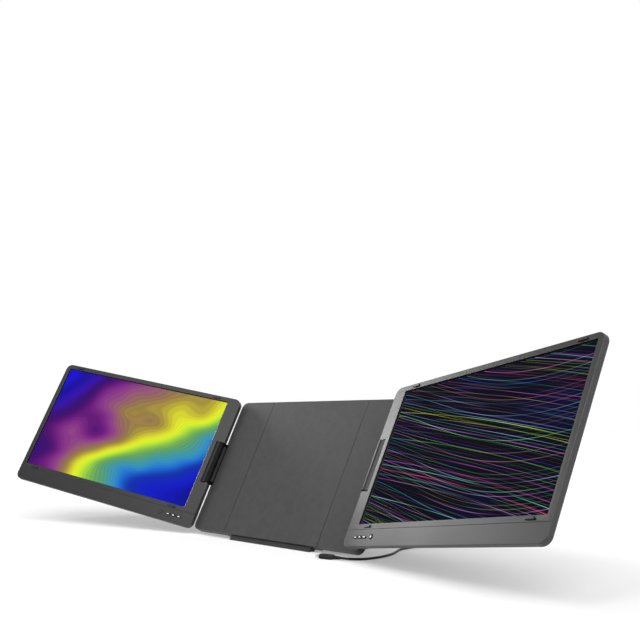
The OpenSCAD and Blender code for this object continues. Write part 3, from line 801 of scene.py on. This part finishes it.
# Tilt, swing, pitch, count, width and seed of each family of light lines
FAMILIES = (
    (0.9, 0.28, 2.6, 30.0, 0.09, 3.0),
    (0.35, -0.8, 3.4, 38.0, 0.08, 40.0),
    (1.2, 0.5, 1.9, 52.0, 0.07, 90.0),
)


def line_picture():
    """Dark picture with families of thin coloured light lines in slow waves."""
    tree, place, sides = new_picture("picture_light_lines")
    glow = remap(tree, noise(tree, place, 2.4, 1.0), 0.5, 0.8)
    night = colour(settings("display").night)
    light = mix_colour(tree, glow, night, (0.0005, 0.001, 0.03, 1))
    for tilt, swing, pitch, count, width, seed in FAMILIES:
        wave = maths(tree, "SINE", times_add(tree, sides[0], pitch, seed))
        bent = times(tree, wave, 0.16 * swing)
        across = maths(tree, "ADD", times_add(tree, sides[0], tilt * 0.5, sides[1]), bent)
        inputs = {"Across": across, "Along": sides[0], "Count": count, "Width": width, "Seed": seed}
        lines = use_group(tree, "Light Lines", inputs)
        light = mix_colour(tree, 1.0, light, lines["Colour"], "ADD")
    picture_shader(tree, light)


def build_finishes():
    """Shared effects and the materials of all pieces."""
    finish = settings("finish")
    build_grain_group()
    build_wear_group()
    build_dust_group()
    build_brushed_group()
    build_lines_group()
    plastic("bezel_plastic", finish.front_colour, 0.32, specular=0.24)
    plastic("shell_plastic", finish.shell_colour, 0.5, grain=1.4, depth=0.00004)
    plastic("barrel_plastic", finish.front_colour, 0.34, grain=0.8, specular=0.3)
    # near-black finish: painted shade on the inboard side of each hinge barrel
    plastic("barrel_black", (0.002, 0.002, 0.0022), 0.4, grain=0.8, specular=0.04)
    # near-black matte finish: the display's own black border, and painted shade on the window's recess walls
    plastic("window_rim", (0.004, 0.004, 0.0045), 0.6, specular=0.1)
    plastic("black_rubber", finish.rubber_colour, 0.62, grain=1.8, depth=0.00004, shade=0.2)
    plastic("lead_rubber", finish.rubber_colour, 0.45, grain=0.9, shade=0.2, specular=0.12)
    plastic("plug_rubber", (0.008, 0.008, 0.0083), 0.45, grain=0.7, shade=0.2, specular=0.15)
    plastic("button_rim", (0.004, 0.004, 0.0045), 0.5, specular=0.2)
    # near-black sheet behind the vents, painted shade inside the slots
    plastic("vent_cloth", (0.003, 0.003, 0.0032), 0.8, grain=2.5, depth=0.00008, specular=0.05)
    plastic("pale_plastic", (0.62, 0.61, 0.58), 0.4, grain=1.2)
    metal("bright_steel", finish.steel_colour, 0.28)
    metal("button_steel", (0.34, 0.34, 0.36), 0.3, line=0.0001)
    metal("turned_brass", (0.62, 0.45, 0.18), 0.3)
    board_material()
    light_guide_material()
    soft_picture()
    line_picture()


def finish_named(name):
    """Material of that name; all are made the first time that one is needed."""
    if name not in bpy.data.materials:
        build_finishes()
    return bpy.data.materials[name]


# ---- Stage ----


def camera_matrix(place, yaw, pitch, roll):
    """Matrix of a camera that looks along yaw and pitch, turned by roll."""
    level = math.cos(pitch)
    look = Vector((-math.sin(yaw) * level, math.cos(yaw) * level, -math.sin(pitch)))
    right = Vector((math.cos(yaw), math.sin(yaw), 0))
    down = look.cross(right)
    side = math.cos(roll) * right + math.sin(roll) * down
    drop = math.cos(roll) * down - math.sin(roll) * right
    return Matrix.Translation(place) @ turned(side, -drop, -look)


def seen_directly(tree):
    """1 for the camera and for mirrored and refracted rays, and 0 for light that is cast."""
    path = put(tree, "ShaderNodeLightPath").outputs
    seen = maths(tree, "ADD", path["Is Camera Ray"], path["Is Glossy Ray"])
    return maths(tree, "ADD", seen, path["Is Transmission Ray"])


def table_material(rgb):
    """Pale table top that keeps the object's shadow and is otherwise white to the camera."""
    tree = new_tree("table_top")
    grain = noise(tree, object_point(tree), 3.0, 2.0)
    inputs = {
        "Base Color": colour(rgb),
        "Roughness": remap(tree, grain, 0, 1, 0.85, 0.95),
        "Specular IOR Level": 0.0,
    }
    top = put(tree, "ShaderNodeBsdfPrincipled", inputs).outputs[0]
    strength = times(tree, seen_directly(tree), 0.2)
    glow = put(tree, "ShaderNodeEmission", {"Strength": strength}).outputs[0]
    both = put(tree, "ShaderNodeAddShader", {0: top, 1: glow}).outputs[0]
    put(tree, "ShaderNodeOutputMaterial", {"Surface": both})
    return bpy.data.materials["table_top"]


def white_world(ambient):
    """World that lights the object softly and is white to the camera and in reflections."""
    world = bpy.data.worlds.new("studio")
    bpy.context.scene.world = world
    world.use_nodes = True
    tree = world.node_tree
    tree.nodes.clear()
    inputs = {
        "Color": (1, 1, 1, 1),
        "Strength": remap(tree, seen_directly(tree), 0, 1, ambient, 1.0),
    }
    background = put(tree, "ShaderNodeBackground", inputs)
    put(tree, "ShaderNodeOutputWorld", {"Surface": background.outputs[0]})


def add_sun(name, comes_from, strength, spread):
    """Wide soft lamp whose light comes from a direction."""
    lamp = bpy.data.lights.new(name, "SUN")
    lamp.energy = strength
    lamp.angle = math.radians(spread)
    piece = add_object(name, lamp)
    piece.rotation_mode = "QUATERNION"
    piece.rotation_quaternion = Vector(comes_from).to_track_quat("Z", "Y")


class EXTENDER_OT_stage(bpy.types.Operator):
    """Sets up the camera, the pale table top and the studio light"""

    bl_idname = "extender.stage"
    bl_label = "Camera and Stage"

    def execute(self, context):
        values = settings("stage")
        camera = bpy.data.cameras.new("camera")
        camera.sensor_width = 36
        camera.lens = values.camera_lens
        camera.shift_x, camera.shift_y = values.camera_shift
        camera.clip_start = 0.05
        camera.clip_end = 100
        viewer = add_object("camera", camera)
        viewer.matrix_world = camera_matrix(
            values.camera_place, values.camera_yaw, values.camera_pitch, values.camera_roll
        )
        context.scene.camera = viewer

        mesh = bpy.data.meshes.new("table_top")
        reach = 30
        corners = [(-reach, -reach, 0), (reach, -reach, 0), (reach, reach, 0), (-reach, reach, 0)]
        mesh.from_pydata(corners, [], [(0, 1, 2, 3)])
        mesh.materials.append(table_material(values.floor_colour))
        add_object("table_top", mesh)

        white_world(values.ambient)
        for name, (comes_from, spread) in LAMPS.items():
            add_sun(name + "_lamp", comes_from, getattr(values, name + "_light"), spread)
        context.scene.view_settings.view_transform = "Standard"
        return {"FINISHED"}


# ---- Lead ----


def lead_curve(name, points, radius):
    """Round tube along points, as a curve."""
    data = bpy.data.curves.new(name, "CURVE")
    data.dimensions = "3D"
    data.bevel_depth = radius
    data.bevel_resolution = 6
    data.use_fill_caps = True
    spline = data.splines.new("POLY")
    spline.points.add(len(points) - 1)
    for place, point in zip(spline.points, points):
        place.co = (*point, 1)
    spline.use_smooth = True
    return add_object(name, data)


def plug_frames():
    """Frames of the free plug and of the plug in the arm: Y runs from the tip to the lead."""
    lead = settings("lead")
    free_axis = -Vector(MOUNTS["free_plug"]["axis"]).normalized()
    up = Vector((0, 0, 1))
    free = turned(free_axis.cross(up), free_axis, up)
    start = Vector(LEAD_ROUTE[0]) - BACK * (lead.plug_size[1] + lead.relief_length)
    return {
        "free": Matrix.Translation(MOUNTS["free_plug"]["pos_m"]) @ free,
        "arm": Matrix.Translation(start) @ LEAN,
    }


def plug_grip(width, length, thickness):
    """Moulded plug body with round ends, a soft waist and three grip ribs."""
    edge = 0.0008
    foot, top, rise = 0.0007, 0.0003, 0.0003
    insets = [(0.0, edge), (0.0001, 0.00045), (0.00035, 0.00015), (edge, 0.0), (length * 0.36, 0.0)]
    for share in (0.42, 0.52, 0.62, 0.72):
        rib = length * share
        insets += [(rib - foot, 0.0), (rib - top, rise), (rib + top, rise), (rib + foot, 0.0)]
    shoulder = ((0.82, 0.0001), (0.92, 0.0006), (0.97, 0.0012), (0.99, 0.0016), (1.0, 0.0021))
    insets += [(length * share, inset) for share, inset in shoulder]
    shape = bmesh.new()
    rows = [(y, -2 * inset) for y, inset in insets]
    loft_pills(shape, 0, 0, grown(width, thickness, rows), 16)
    return mesh_of(shape)


def strain_relief(start, length, first, last):
    """Tapered sleeve with rings cut into it."""
    count, groove, round_off = 5, 0.00035, 0.0002
    rows = []
    for k in range(count):
        for along, inset in ((0.0, 0.0), (0.5, 0.0), (0.58, groove), (0.92, groove)):
            share = (k + along) / count
            radius = first + (last - first) * share - (inset if k < count - 1 else 0)
            rows.append((start + share * length, 2 * radius))
    rows.append((start + length - round_off, 2 * last))
    rows.append((start + length, 2 * last - 2 * round_off))
    shape = bmesh.new()
    loft_pills(shape, 0, 0, grown(0, 0, rows))
    return mesh_of(shape)


def plug_tip(width, length, thickness):
    """Hollow metal tip with a tongue inside."""
    wall, floor, root = 0.0003, 0.0012, 0.0003
    outer = [(root, 0.0), (-length + 0.0003, 0.0), (-length + 0.0001, 0.00008), (-length, 0.0002)]
    inner = [(-length, wall), (-floor, wall)]
    tongue = [(0.0, 0.0), (-length + 0.0012, 0.0), (-length + 0.0009, 0.0001)]
    shape = bmesh.new()
    for wide, high, insets in (
        (width, thickness, outer + inner),
        (width * 0.76, 0.0007, tongue),
    ):
        rows = [(y, -2 * inset) for y, inset in insets]
        loft_pills(shape, 0, 0, grown(wide, high, rows))
    return mesh_of(shape)


class EXTENDER_OT_lead(bpy.types.Operator):
    """Makes the lead on the table with its plugs and strain reliefs"""

    bl_idname = "extender.lead"
    bl_label = "Lead"

    def execute(self, context):
        values = settings("lead")
        jacket = lead_curve("lead_jacket", catmull(LEAD_ROUTE, 6), values.diameter / 2)
        jacket.data.materials.append(finish_named("lead_rubber"))
        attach(jacket, "arm_right")
        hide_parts("lead")
        lap = 0.0003
        relief = strain_relief(
            values.plug_size[1] - lap, values.relief_length + lap, 0.0026, 0.002
        )
        grip = plug_grip(*values.plug_size)
        tip = plug_tip(*values.tip_size)
        grip_nodes = {"free": "laptop_plug", "arm": "arm_plug"}
        for end, matrix in plug_frames().items():
            for name, mesh, finish, slot, node in (
                ("_plug_grip", grip, "plug_rubber", "plug_plastic", grip_nodes[end]),
                ("_strain_relief", relief, "plug_rubber", "plug_plastic", "lead_reliefs"),
                ("_plug_tip", tip, "bright_steel", "steel", "plug_tips"),
            ):
                place_piece(end + name, mesh, matrix, "arm_right", [finish], [node])
        return {"FINISHED"}


# ---- Panel housings ----


def edge_path(values, folds):
    """Side profile from a rounded front edge through folds, as (depth, inset)."""
    bevel = values.front_bevel
    path = []
    bevel_steps, fold_steps, round_off = 4, 3, 0.0006
    for k in range(bevel_steps + 1):
        turn = math.pi / 2 * k / bevel_steps
        path.append((bevel * (1 - math.cos(turn)), bevel * (1 - math.sin(turn))))
    corners = [Vector((bevel, 0))] + [Vector(fold) for fold in folds]
    for before, corner, after in zip(corners, corners[1:], corners[2:]):
        start = corner + (before - corner).normalized() * round_off
        stop = corner + (after - corner).normalized() * round_off
        for k in range(fold_steps + 1):
            t = k / fold_steps
            path.append(tuple(start * (1 - t) ** 2 + corner * 2 * t * (1 - t) + stop * t**2))
    slack = 0.00005
    return [(min(max(depth, slack), PANEL_T - slack), inset + slack) for depth, inset in path]


def inset_at(path, depth):
    """Inset of a side profile at a depth."""
    for (y0, inset0), (y1, inset1) in zip(path, path[1:]):
        if y0 <= depth <= y1 and y1 > y0:
            return inset0 + (inset1 - inset0) * (depth - y0) / (y1 - y0)
    return path[-1][1]


def station(paths, depth, sink=0.0):
    """Depth with the insets of the outer and the hinge-side profile, sunk a little."""
    return (depth, *[inset_at(path, depth) + sink for path in paths])


def panel_outline(radius, inset, steps=12):
    """Outline of a panel in X and Z, drawn in by inset."""
    reach = radius - inset
    right, top = PANEL_W - radius, PANEL_H - radius
    points = []
    middles = ((right, top), (radius, top), (radius, radius), (right, radius))
    for quarter, (x, z) in enumerate(middles):
        for k in range(steps + 1):
            turn = math.pi / 2 * (quarter + k / steps)
            points.append((x + reach * math.cos(turn), z + reach * math.sin(turn)))
    return points


def block_mesh(values, stations):
    """Solid with a panel's outline, drawn in at each depth by the two insets of its station."""
    shape = bmesh.new()
    rings = []
    for y, inset, hinge_inset in stations:
        outer = panel_outline(values.corner_radius, inset)
        inner = panel_outline(values.corner_radius, hinge_inset)
        rings.append(
            [
                (far[0], y, far[1])
                if far[0] > PANEL_W / 2
                else (near[0], y, min(max(near[1], inset), PANEL_H - inset))
                for far, near in zip(outer, inner)
            ]
        )
    loft(shape, rings)
    return mesh_of(shape)


def chamfer_front(shape, low, high, width):
    """Cutter that chamfers an opening's edge in the front face."""
    frustum(shape, low, high, (-OVERCUT, width + OVERCUT), (width + 0.0001, -0.0001))


def notch_corners(values):
    """Lower outer and upper inner corner of the notch round a hinge barrel."""
    depth, height = values.notch
    return (-0.01, PANEL_H / 2 - height / 2), (depth, PANEL_H / 2 + height / 2)


def seam_cut(shape, values):
    """Cutter that opens the seam between chin cover and front frame at the front."""
    gap, beyond = 0.00015, 0.002
    middle = CHIN_TOP + gap
    low, high = (-beyond, middle - gap), (PANEL_W + beyond, middle + gap)
    chamfer_front(shape, low, high, values.seam_groove)


def front_cuts(values):
    """Cutters for the front frame: window and notch edges, chin seam and bumper seats."""
    shape = bmesh.new()
    lap = values.glass_lap
    window_low = (GLASS_LOW.x + lap, GLASS_LOW.z + lap)
    window_high = (GLASS_HIGH.x - lap, GLASS_HIGH.z - lap)
    chamfer_front(shape, window_low, window_high, 0.0003)
    chamfer_front(shape, *notch_corners(values), 0.0004)
    seam_cut(shape, values)
    play = 0.001
    for x, z in bumper_places():
        loft_pills(shape, x, z, grown(*BUMPER_SIZE, ((-OVERCUT, play), (BUMPER_SEAT, play))))
    return mesh_of(shape)


def chin_cuts(values):
    """Cutters for the chin cover: its seam and the edges of the button holes."""
    shape = bmesh.new()
    seam_cut(shape, values)
    for button in BUTTONS:
        x, z = button_place(button)
        rows = grown(*button_size(button), ((-OVERCUT, 0.0013), (0.0004, 0.0001)))
        loft_pills(shape, x, z, rows)
    return mesh_of(shape)


def vent_places(values):
    """Middles of the vent slots on a back cover: two groups of long slots above each other."""
    lowest = VENT_MIDDLE - (values.vent_count - 1) / 2 * VENT_PITCH
    return [
        (PANEL_W / 2 + group * VENT_ASIDE, lowest + k * VENT_PITCH)
        for group in (-1, 1)
        for k in range(values.vent_count)
    ]


def back_cuts(values):
    """Cutters for the back cover: notch edges and vent slots."""
    shape = bmesh.new()
    chamfer, behind = 0.0005, PANEL_T + OVERCUT
    low, high = notch_corners(values)
    frustum(shape, low, high, (PANEL_T - chamfer, -0.0001), (behind, 0.0006))
    rows = ((PANEL_T - 0.003, 0.0), (PANEL_T - chamfer, 0.0), (behind, 0.0012))
    for x, z in vent_places(values):
        loft_pills(shape, x, z, grown(*values.vent_size, rows))
    return mesh_of(shape)


def vent_shade_sheet_mesh(values):
    """Strip of black sheet behind the vent slots: painted shade that keeps the slots dark."""
    lap_x, lap_z = 0.012, 0.01
    places = vent_places(values)
    width = places[-1][0] - places[0][0] + values.vent_size[0] + lap_x
    height = places[-1][1] - places[0][1] + values.vent_size[1] + lap_z
    rows = ((PANEL_T - 0.0021, -0.0004), (PANEL_T - 0.0019, 0.0), (PANEL_T - 0.0016, 0.0))
    shape = bmesh.new()
    loft_pills(shape, PANEL_W / 2, VENT_MIDDLE, grown(width, height, rows))
    return mesh_of(shape)


def paint_front(mesh):
    """Gives the sides and the window's recess walls their own material numbers; both carry painted shade."""
    lap = settings("panel").glass_lap - 0.0005
    for polygon in mesh.polygons:
        place = polygon.center
        inside_x = GLASS_LOW.x + lap < place.x < GLASS_HIGH.x - lap
        inside_z = GLASS_LOW.z + lap < place.z < GLASS_HIGH.z - lap
        # recess walls of the window get the near-black painted shade
        if inside_x and inside_z and place.y > 0.0003:
            polygon.material_index = 2
        else:
            # faces that don't look straight forward take the shell finish, a painted shade along the edges
            polygon.material_index = 0 if polygon.normal.y < -0.9 else 1


class EXTENDER_OT_panel_housings(bpy.types.Operator):
    """Makes the front frames, chin covers and back covers of both panels"""

    bl_idname = "extender.panel_housings"
    bl_label = "Panel Housings"

    def execute(self, context):
        values = settings("panel")
        inset = values.back_inset
        chamfer = PANEL_T - values.hinge_flat
        knee_inset, knee_depth = values.knee
        flat = 0.002
        folds = [(values.side_depth, 0), (knee_depth, knee_inset)]
        folds += [(PANEL_T, inset), (PANEL_T, inset + flat)]
        hinge_folds = [(values.hinge_flat, 0), (PANEL_T, chamfer), (PANEL_T, chamfer + flat)]
        paths = [edge_path(values, folds), edge_path(values, hinge_folds)]
        depths = sorted({round(depth, 6) for path in paths for depth, _ in path})
        groove = values.seam_groove
        front_path = [station(paths, depth) for depth in depths if depth < SEAM_Y - groove]
        front_path.append(station(paths, SEAM_Y - groove))
        front_path.append(station(paths, SEAM_Y + groove, 2 * groove))
        back_path = [station(paths, SEAM_Y - groove, 2 * groove), station(paths, SEAM_Y + groove)]
        back_path += [station(paths, depth) for depth in depths if depth > SEAM_Y + groove]

        # front, sides and recess walls; the sides and the recess walls carry painted shade
        bezel = ("bezel_plastic", "shell_plastic", "window_rim")
        shells = (
            ("front_frame", front_path, front_cuts(values), bezel, "front_plastic"),
            ("chin_cover", front_path, chin_cuts(values), bezel, "front_plastic"),
            ("back_cover", back_path, back_cuts(values), ("shell_plastic",), "back_plastic"),
        )
        for name, profile, cuts, finishes, slot in shells:
            mesh = mesh_of(cad_shape(name + "_right", PANEL["right"]), name)
            mesh = combine(mesh, block_mesh(values, profile), "INTERSECT")
            mesh = combine(mesh, cuts, "DIFFERENCE")
            merge_flat(mesh)
            if finishes is bezel:
                paint_front(mesh)
            place_on_panels(name + "_%s_shell", mesh, finishes, name + "_%s")
        # black sheet behind the vents, painted shade inside the slots
        shade_sheet = vent_shade_sheet_mesh(values)
        place_on_panels("vent_cloth_%s", shade_sheet, ["vent_cloth"], "back_cover_%s")
        return {"FINISHED"}


# ---- Displays ----


def display_mesh(border, lap):
    """Display with a black border, a bright line at its hinge side and the picture area."""
    low, high = GLASS_LOW, GLASS_HIGH
    line_start, line_end = 0.0003, 0.0015
    x_cuts = [
        low.x,
        low.x + lap + line_start,
        low.x + lap + line_end,
        low.x + lap + 0.001 + border,
        high.x - lap - border,
        high.x,
    ]
    z_cuts = [low.z, low.z + lap + border, high.z - lap - border, high.z]
    finish_numbers = {(1, 1): 1, (3, 1): 2}
    shape = bmesh.new()
    picture = shape.loops.layers.uv.new("picture")
    grid = [[shape.verts.new((x, low.y, z)) for z in z_cuts] for x in x_cuts]
    for i in range(len(x_cuts) - 1):
        for j in range(len(z_cuts) - 1):
            corners = (grid[i][j], grid[i + 1][j], grid[i + 1][j + 1], grid[i][j + 1])
            face = shape.faces.new(corners)
            face.material_index = finish_numbers.get((i, j), 0)
            for loop, place in zip(face.loops, ((0, 0), (1, 0), (1, 1), (0, 1))):
                loop[picture].uv = place
    rim = [column[0] for column in grid] + grid[-1][1:]
    rim += [column[-1] for column in grid[-2::-1]] + grid[0][-2:0:-1]
    rear = [shape.verts.new((vertex.co.x, high.y, vertex.co.z)) for vertex in rim]
    for k in range(len(rim)):
        shape.faces.new((rim[k - 1], rim[k], rear[k], rear[k - 1]))
    shape.faces.new(rear)
    return mesh_of(shape)


class EXTENDER_OT_displays(bpy.types.Operator):
    """Makes the two displays and their pictures"""

    bl_idname = "extender.displays"
    bl_label = "Displays"

    def execute(self, context):
        mesh = display_mesh(settings("display").border, settings("panel").glass_lap)
        pictures = {"left": "picture_soft_bands", "right": "picture_light_lines"}
        for side in SIDES:
            finishes = ("window_rim", "bright_steel", pictures[side])
            nodes = ["lcd_glass_" + side]
            body = "panel_" + side
            place_piece(
                "display_" + side, mesh, PANEL[side], body, finishes, nodes
            )
        return {"FINISHED"}


# ---- Buttons and bumpers ----


def button_place(button):
    """Middle of a button in X and Z."""
    low, high = local_box(button + "_right", PANEL["right"])
    return (low.x + high.x) / 2, (low.z + high.z) / 2


def button_size(button):
    """Width and height of a button's cap in its hole."""
    low, high = local_box(button + "_right", PANEL["right"])
    flange = 0.0009
    height = high.z - low.z - 2 * flange
    width = high.x - low.x - (2 * flange if button == "power_button" else flange)
    return width, height


def button_mesh(button):
    """Button with a bright inlay in its cap, a flange behind the cover and its stem."""
    low, high = local_box(button + "_right", PANEL["right"])
    width, height = button_size(button)
    full = (high.x - low.x, high.z - low.z)
    front = low.y
    stem, flange_back, flange_front, inlay_depth = 0.0024, 0.00245, 0.00165, 0.00008
    slope = 0.00001
    rows = [
        (high.y, stem, stem),
        (flange_back, stem, stem),
        (flange_back - slope, *full),
        (flange_front + slope, *full),
        (flange_front, width, height),
        (front + 0.0005, width, height),
        (front + 0.00026, width - 0.0001, height - 0.0001),
        (front + 0.0001, width - 0.0004, height - 0.0004),
        (front + 0.00003, width - 0.0008, height - 0.0008),
        (front, width - 0.0014, height - 0.0014),
        (front + inlay_depth, width - 0.0016, height - 0.0016),
        (front + inlay_depth, width * 0.46, height * 0.38),
    ]
    shape = bmesh.new()
    loft_pills(shape, *button_place(button), rows, 14)
    mesh = mesh_of(shape)
    inlay = max(mesh.polygons, key=lambda polygon: len(polygon.vertices) - 100 * polygon.center.y)
    inlay.material_index = 1
    return mesh


class EXTENDER_OT_buttons(bpy.types.Operator):
    """Makes the four buttons of each panel"""

    bl_idname = "extender.buttons"
    bl_label = "Buttons"

    def execute(self, context):
        bright = ("button_rim", "button_steel")
        plain = ("bezel_plastic", "bezel_plastic")
        for button in BUTTONS:
            mesh = button_mesh(button)
            for side in SIDES:
                node = "%s_%s" % (button, side)
                finishes = plain if node == "power_button_left" else bright
                place_piece(
                    node + "_cap", mesh, PANEL[side], node, finishes, [node]
                )
        return {"FINISHED"}


def loose_solids(shape):
    """Middle in X and Z and rearmost depth of each loose solid of a bmesh, in a fixed order."""
    left = set(shape.verts)
    found = []
    while left:
        solid = set()
        edge = [left.pop()]
        while edge:
            vertex = edge.pop()
            solid.add(vertex)
            for link in vertex.link_edges:
                other = link.other_vert(vertex)
                if other in left:
                    left.remove(other)
                    edge.append(other)
        xs = [vertex.co.x for vertex in solid]
        zs = [vertex.co.z for vertex in solid]
        rear = max(vertex.co.y for vertex in solid)
        found.append(((min(xs) + max(xs)) / 2, (min(zs) + max(zs)) / 2, rear))
    return sorted(found)


def bumper_places():
    """Middles of the four bumpers on a panel's front, from their CAD solids."""
    shape = cad_shape("bumpers_right", PANEL["right"])
    places = [(x, z) for x, z, _ in loose_solids(shape)]
    shape.free()
    return places


def bumper_mesh():
    """Four soft pads with rounded edges, each with a plug that holds it in the frame."""
    low, high = local_box("bumpers_right", PANEL["right"])
    front = low.y
    plug = -0.002
    rows = [
        (high.y, plug),
        (BUMPER_SEAT + 0.0001, plug),
        (BUMPER_SEAT, 0.0),
        (front + 0.0008, 0.0),
        (front + 0.0004, -0.00012),
        (front + 0.00015, -0.0004),
        (front + 0.00004, -0.0008),
        (front, -0.0013),
    ]
    shape = bmesh.new()
    for x, z in bumper_places():
        loft_pills(shape, x, z, grown(*BUMPER_SIZE, rows))
    return mesh_of(shape)


class EXTENDER_OT_bumpers(bpy.types.Operator):
    """Makes the soft bumpers on the panel fronts"""

    bl_idname = "extender.bumpers"
    bl_label = "Bumpers"

    def execute(self, context):
        finishes = ["bezel_plastic"]
        place_on_panels("bumpers_%s_pads", bumper_mesh(), finishes, "bumpers_%s")
        return {"FINISHED"}


# ---- Hinges, arms, body and kickstand ----


class EXTENDER_OT_hinges(bpy.types.Operator):
    """Makes the hinge barrels with their towers and the pads that grip the laptop's lid"""

    bl_idname = "extender.hinges"
    bl_label = "Hinges"

    def execute(self, context):
        for side in SIDES:
            block = refined("hinge_block_" + side, "arm_" + side, "barrel_plastic", 0.0006)
            # the barrel's inboard side gets a near-black painted shade
            paint_inboard_shade(block, side, "barrel_black", math.radians(22))
            refined("grip_pad_" + side, "arm_" + side, "black_rubber", 0.0003)
        return {"FINISHED"}


class EXTENDER_OT_arms(bpy.types.Operator):
    """Makes the two sliding arms"""

    bl_idname = "extender.arms"
    bl_label = "Arms"

    def execute(self, context):
        for side in SIDES:
            refined("arm_front_" + side, "arm_" + side, "shell_plastic", 0.0004)
            refined("arm_back_" + side, "arm_" + side, "shell_plastic", 0.0004)
            refined("slide_bars_" + side, "arm_" + side, "bright_steel", 0.0002)
        return {"FINISHED"}


class EXTENDER_OT_body(bpy.types.Operator):
    """Makes the body between the arms and its rubber foot"""

    bl_idname = "extender.body"
    bl_label = "Body"

    def execute(self, context):
        refined("core_front", "core", "shell_plastic", 0.0004)
        refined("core_back", "core", "shell_plastic", 0.0004)
        refined("base_foot", "core", "black_rubber", 0.0006)
        return {"FINISHED"}


class EXTENDER_OT_kickstand(bpy.types.Operator):
    """Makes the kickstand with its brackets, pins and foot"""

    bl_idname = "extender.kickstand"
    bl_label = "Kickstand"

    def execute(self, context):
        refined("stand_brackets", "core", "shell_plastic", 0.0003)
        refined("stand_leg", "stand", "shell_plastic", 0.0003)
        refined("stand_foot", "stand", "black_rubber", 0.0004)
        refined("stand_pins", "core", "bright_steel", 0.0002)
        return {"FINISHED"}


# ---- Screws and inner pieces ----


def screw_mesh(node, matrix):
    """Screws of a CAD node with a cross recess in each head."""
    shape = cad_shape(node, matrix)
    recess = bmesh.new()
    arm, width = 0.0012, 0.00025
    quarter = [(arm, -width), (arm, width), (width, width)]
    cross = []
    for _ in range(4):
        cross += quarter
        quarter = [(-b, a) for a, b in quarter]
    for x, z, head in loose_solids(shape):
        floor, mouth = (head - 0.0005, 0.6), (head + 0.0001, 1.05)
        loft(recess, [[(x + a * s, y, z + b * s) for a, b in cross] for y, s in (floor, mouth)])
    return combine(mesh_of(shape), mesh_of(recess), "DIFFERENCE")


class EXTENDER_OT_screws(bpy.types.Operator):
    """Makes the cross-head screws of panels, arms and body"""

    bl_idname = "extender.screws"
    bl_label = "Screws"

    def execute(self, context):
        steel = ["bright_steel"]
        mesh = screw_mesh("panel_screws_right", PANEL["right"])
        place_on_panels("panel_screws_%s_set", mesh, steel, "panel_screws_%s")
        for node, body in (
            ("arm_screws_left", "arm_left"),
            ("arm_screws_right", "arm_right"),
            ("core_screws", "core"),
        ):
            mesh = screw_mesh(node, LEAN)
            place_piece(node + "_set", mesh, LEAN, body, steel, [node])
        return {"FINISHED"}


INNER_FINISHES = {
    "steel": "bright_steel",
    "bush_brass": "turned_brass",
    "circuit_board": "green_board",
    "light_guide": "white_guide",
    "guide_plastic": "pale_plastic",
}


class EXTENDER_OT_inner_pieces(bpy.types.Operator):
    """Gives the pieces inside the housings their finish"""

    bl_idname = "extender.inner_pieces"
    bl_label = "Inner Pieces"

    def execute(self, context):
        for node in frame["nodes"].values():
            if node.hide_render:
                continue
            for place in node.material_slots:
                place.material = finish_named(INNER_FINISHES[place.material.name.split(".")[0]])
        return {"FINISHED"}


OPERATORS = (
    EXTENDER_OT_stage,
    EXTENDER_OT_lead,
    EXTENDER_OT_panel_housings,
    EXTENDER_OT_displays,
    EXTENDER_OT_buttons,
    EXTENDER_OT_bumpers,
    EXTENDER_OT_hinges,
    EXTENDER_OT_arms,
    EXTENDER_OT_body,
    EXTENDER_OT_kickstand,
    EXTENDER_OT_screws,
    EXTENDER_OT_inner_pieces,
)


# ---- Sidebar ----


class EXTENDER_PT_pieces(bpy.types.Panel):
    """Lists the pieces of the extender"""

    bl_idname = "EXTENDER_PT_pieces"
    bl_label = "Screen Extender"
    bl_space_type = "VIEW_3D"
    bl_region_type = "UI"
    bl_category = "Extender"

    def draw(self, context):
        for operator in OPERATORS:
            self.layout.operator(operator.bl_idname)


SETTINGS = {
    "extender_stage": ExtenderStageSettings,
    "extender_panel": ExtenderPanelSettings,
    "extender_display": ExtenderDisplaySettings,
    "extender_finish": ExtenderFinishSettings,
    "extender_lead": ExtenderLeadSettings,
}


def register():
    """Adds the settings, operators and the panel to Blender."""
    for name, group in SETTINGS.items():
        bpy.utils.register_class(group)
        setattr(bpy.types.Scene, name, bpy.props.PointerProperty(type=group))
    for operator in OPERATORS:
        bpy.utils.register_class(operator)
    bpy.utils.register_class(EXTENDER_PT_pieces)


def unregister():
    """Takes the settings, operators and the panel out again."""
    bpy.utils.unregister_class(EXTENDER_PT_pieces)
    for operator in reversed(OPERATORS):
        bpy.utils.unregister_class(operator)
    for name, group in SETTINGS.items():
        delattr(bpy.types.Scene, name)
        bpy.utils.unregister_class(group)


def main():
    """Makes every piece."""
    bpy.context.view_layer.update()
    register()
    for operator in OPERATORS:
        group, name = operator.bl_idname.split(".")
        getattr(getattr(bpy.ops, group), name)()


if __name__ == "__main__":
    main()
